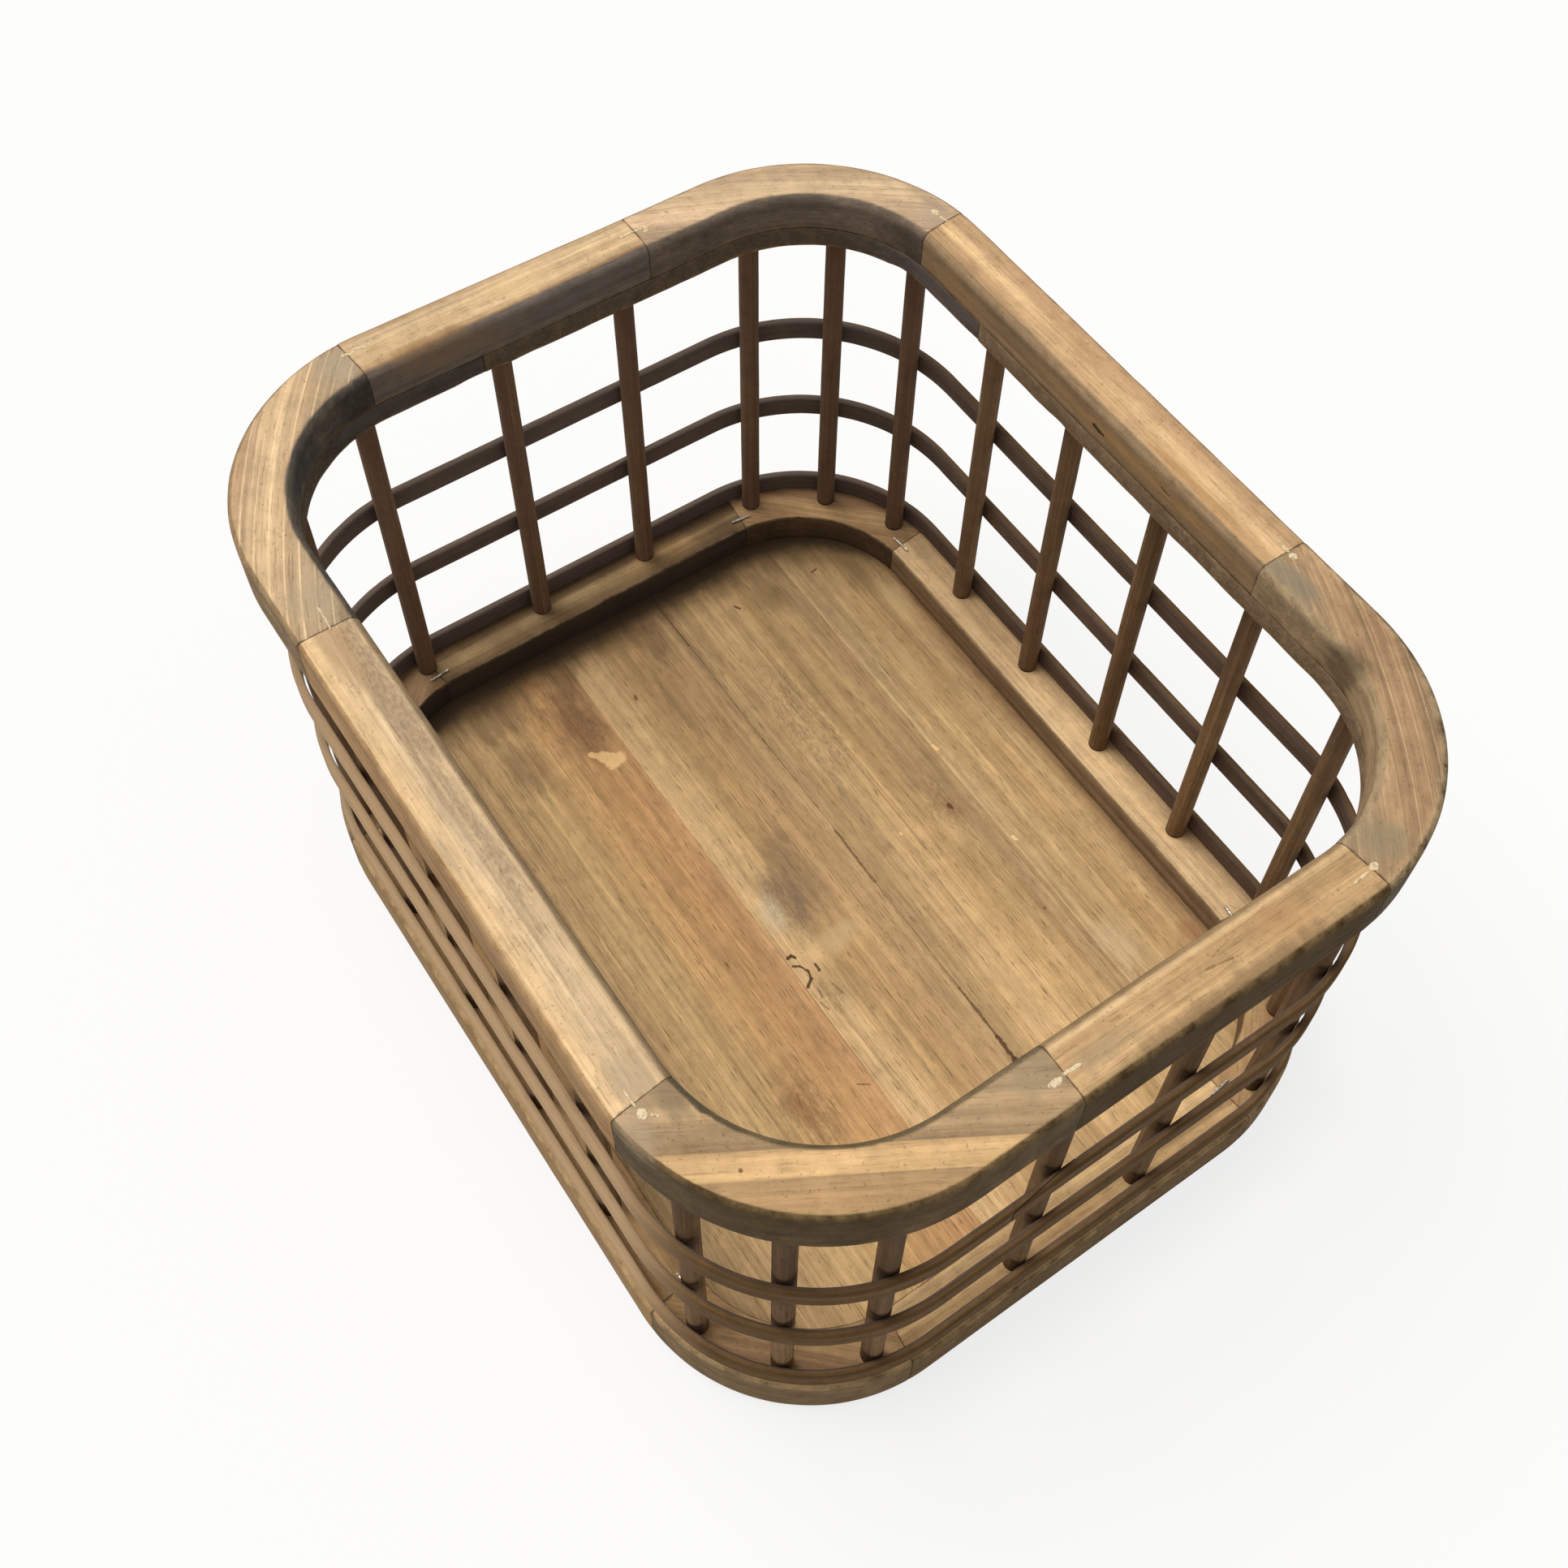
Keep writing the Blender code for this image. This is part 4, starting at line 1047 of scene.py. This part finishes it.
hoopWood = woodMaterial("hoopWood", {
    "bands": [(0, 118, 92, 62), (1, 100, 78, 52)], "span": (-0.003, 0.003), "pith": (0.05, 0.02),
    "ringWidth": 0.003, "late": 0.3, "stain": 0.4, "stainColor": (84, 66, 48), "outer": 0.85,
    "outerColor": (95, 72, 44), "inner": 0.95, "innerColor": (98, 82, 71), "end": 0, "joint": 0, "rub": 0.15,
    "bareColor": (190, 160, 120), "fibre": 0.35, "dirt": 0.3}, hoopDetails)
tree = geometryTree(bentLath, {label: "Float" for label in ("Height", "Thickness", "Round", "Scarf", "Wobble")})
for place, (lift, side) in hoops["lifts"].items():
    start = 2 * halfStraight(side) * (hoops["jointShare"] - 0.5)
    slip = plan["gap"] * math.hypot(hoops["scarf"], hoops["thickness"]) / hoops["thickness"]
    path = [("side", side, start, halfStraight(side))]
    for k in range(side, side + 4):
        half = halfStraight(k + 1)
        path += [("bend", k, 0, quarter), ("side", k + 1, -half, start - slip if k == side + 3 else half)]
    centre = Vector((hoops["innerInset"] - hoops["thickness"] / 2, 0,
                     plan["baseTop"] + lift + hoops["height"] / 2))
    line = [station @ centre for _, _, station in stationsAlong(path, 0.0032, (0, 0.0032))]
    hoop = grow("hoop_" + place, tree, line, [(i, i + 1) for i in range(len(line) - 1)], {
        "Height": hoops["height"], "Thickness": hoops["thickness"], "Round": hoops["round"],
        "Scarf": hoops["scarf"], "Wobble": hoops["wobble"], "Material": hoopWood})
    settle(hoop, ["hoop_" + place])
print("hoops: 3")


# Filler over the fasteners at the rim's joints: streaks and dabs of x, y, width, in millimetres
filler = {
    "dabs": (((-114, -187.7, 0.8), (-106.3, -187.6, 1), (-99.5, -188.3, 0.7)), ((-99.6, -185.6, 1.4),
        (-98.6, -185.2, 1.6)), ((161.2, -192.9, 3.6), (163.4, -192.4, 4.4), (165.6, -192, 3.2)),
        ((151.5, -193.4, 0.7), (160, -193, 1.1)), ((165.2, -189.8, 1.2), (167.9, -187.6, 1.4)), ((240.9, -60, 2.6),
        (241.1, -56.5, 3.6), (240.9, -53.4, 2.4)), ((240.7, -44, 1.7), (240.2, -53, 1.5)), ((241.4, 112.4, 2.4),
        (241.8, 110, 4.2), (241.9, 107.6, 2.6)), ((242.3, 106, 1.2), (243, 97.3, 1.3)), ((102.4, 191.7, 3),
        (104.4, 191.5, 4.4), (106.6, 191.2, 3.2)), ((92.7, 191.9, 1), (101.6, 191.6, 1.3)), ((-168.6, 189, 2.8),
        (-165.6, 189.5, 4.2), (-163.4, 189.4, 2.4)), ((-162.6, 189.4, 1), (-156.6, 190.8, 1.3)), ((-238.8, 57.6, 2.6),
        (-236.8, 57.9, 2.8), (-235.4, 55.8, 1.6)), ((-238.6, 56, 1.8), (-239, 50, 1.3), (-238.8, 42.6, 1.5)),
        ((-242.5, -96.1, 1.3), (-241.6, -99.7, 1.4), (-243.1, -104.1, 1.3), (-240.6, -105.9, 1.5),
        (-242.5, -109.5, 1.4), (-241.6, -111.8, 1.6))),
    "height": 0.3035, "swell": 0.00048, "step": 0.0006,
    "color": rgb(226, 206, 166), "crust": rgb(176, 150, 112),
}


def fillerDabs(given):
    line = shaped("SetCurveNormal", {"Curve": shaped("MeshToCurve", {0: given["Geometry"]})}, mode="Z_UP")
    ring = shaped("CurvePrimitiveCircle", {"Resolution": 14, "Radius": 1.0})
    ring = keep(ring, "section", shaped("InputPosition"), vectorKind)
    dab = shaped("CurveToMesh", {"Curve": line, "Profile Curve": ring, "Fill Caps": True,
                                 "Scale": recall("halfWidth")})
    spot = shaped("InputPosition")
    push = vectorCalc("SUBTRACT", noiseOn(spot, 700.0, output="Color"), (0.5, 0.5, 0.5))
    place = parts(vectorCalc("ADD", spot, stretched(push, 0.0016, 0.0016, 0.0)))
    swell = times(given["Swell"], remap(noiseOn(spot, 700.0), 0.3, 0.7, 0.5, 1.0))
    level = plus(times(parts(recall("section", vectorKind))["Y"], swell), given["Height"])
    return shaped("SetPosition", {"Geometry": dab, "Position": joined(place["X"], place["Y"], level)})


def fillerMaterial(look):
    material, shader = newMaterial("filler")
    crust = noiseOn(objectPlace(), 900.0, 3.0, 0.6)
    feed(shader, {"Base Color": blend(remap(crust, 0.45, 0.65), look["color"], look["crust"]),
                  "Roughness": 0.75, "Normal": bumpFrom(crust, 0.5, 0.0004)})
    return material


points, lines, widths = [], [], []
for dab in filler["dabs"]:
    spots = [Vector(corner) / 1000 for corner in dab]
    first = len(points)
    for here, after in zip(spots, spots[1:]):
        bits = max(2, round((after.xy - here.xy).length / filler["step"]))
        for i in range(bits + (after is spots[-1])):
            spot = here.lerp(after, i / bits)
            points.append((spot.x, spot.y, filler["height"]))
            widths.append(spot.z / 2)
    count = len(points) - first
    for i in range(count):
        widths[first + i] *= math.sqrt(1 - (1 - min(1, (i + 0.2) / 3, (count - 0.8 - i) / 3)) ** 2)
    lines += [(first + i, first + i + 1) for i in range(count - 1)]
fillerWood = fillerMaterial(filler)
tree = geometryTree(fillerDabs, {"Height": "Float", "Swell": "Float"})
dabs = grow("joint_filler", tree, points, lines, {
    "Height": filler["height"], "Swell": filler["swell"], "Material": fillerWood}, halfWidth=widths)
settle(dabs, [])
print("filler: 8 joints")


def steelMaterial(name, look):
    material, shader = newMaterial(name)
    position = objectPlace()
    tarnish = remap(noiseOn(position, 700.0, 3.0), 0.42, 0.68)
    scratch = noiseOn(stretched(position, 300, 300, 2000))
    feed(shader, {"Base Color": blend(tarnish, look["color"], look["tarnish"]), "Metallic": 1.0,
                  "Roughness": remap(tarnish, 0, 1, look["roughness"], 0.7),
                  "Normal": bumpFrom(scratch, 0.3, 0.0002)})
    return material


staples = {"color": rgb(206, 200, 190), "tarnish": rgb(110, 94, 76), "roughness": 0.38}
stapleSteel = steelMaterial("stapleSteel", staples)
for name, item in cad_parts.items():
    if name.startswith("staple_"):
        item.material_slots[0].material = stapleSteel
print("staples: wire finish")


# 1 where the camera or a reflection sees it, 0 for the light it sends to the basket
def seen():
    rays = put("ShaderNodeLightPath").outputs
    return calc("MAXIMUM", rays["Is Camera Ray"],
                calc("MAXIMUM", rays["Is Glossy Ray"], rays["Is Transmission Ray"]))


ground = {"half": 3.0, "color": rgb(234, 231, 225), "white": 0.78}


def makeGround():
    half = ground["half"]
    mesh = bpy.data.meshes.new("ground")
    mesh.from_pydata([(-half, -half, 0), (half, -half, 0), (half, half, 0), (-half, half, 0)], [], [(0, 1, 2, 3)])
    material, shader = newMaterial("ground")
    feed(shader, {"Base Color": ground["color"], "Roughness": 0.9, "Specular IOR Level": 0.1})
    nodes = material.node_tree.nodes
    glow = put("ShaderNodeEmission", {"Color": (1, 1, 1, 1), "Strength": 1.0})
    mixed = put("ShaderNodeMixShader", {0: times(seen(), ground["white"]), 1: nodes["Principled BSDF"].outputs[0],
                                        2: glow.outputs[0]})
    feed(nodes["Material Output"].inputs, {"Surface": mixed.outputs[0]})
    mesh.materials.append(material)
    linked("ground", mesh)


makeGround()

view = {
    "place": (0.4020, -0.2971, 0.9789), "right": (0.5731, 0.8189, 0.0316), "back": (0.4367, -0.3377, 0.8338),
    "lens": 43.23, "sensor": 36.0, "shift": (-0.0331, -0.0600),
}
camera = linked("camera", bpy.data.cameras.new("camera"))
camera.data.lens = view["lens"]
camera.data.sensor_width = view["sensor"]
camera.data.shift_x, camera.data.shift_y = view["shift"]
camera.data.clip_start = 0.02
back = Vector(view["back"]).normalized()
right = (Vector(view["right"]) - back * back.dot(Vector(view["right"]))).normalized()
turn = Matrix((right, back.cross(right), back)).transposed().to_4x4()
camera.matrix_world = Matrix.Translation(view["place"]) @ turn
scene.camera = camera

light = {"world": 0.50, "key": 2.3, "keyFrom": (-0.40, -0.25, 1.0), "keySoft": math.radians(40)}
world = bpy.data.worlds.new("studio")
scene.world = world
world.use_nodes = True
canvas["tree"] = world.node_tree
feed(world.node_tree.nodes["Background"].inputs, {"Color": (1, 1, 1, 1),
                                                  "Strength": remap(seen(), 0, 1, light["world"], 1.0)})
key = linked("key", bpy.data.lights.new("key", "SUN"))
key.data.energy = light["key"]
key.data.angle = light["keySoft"]
key.rotation_mode = "QUATERNION"
key.rotation_quaternion = Vector(light["keyFrom"]).to_track_quat("Z", "Y")
scene.view_settings.view_transform = "Standard"
print("camera and light set")
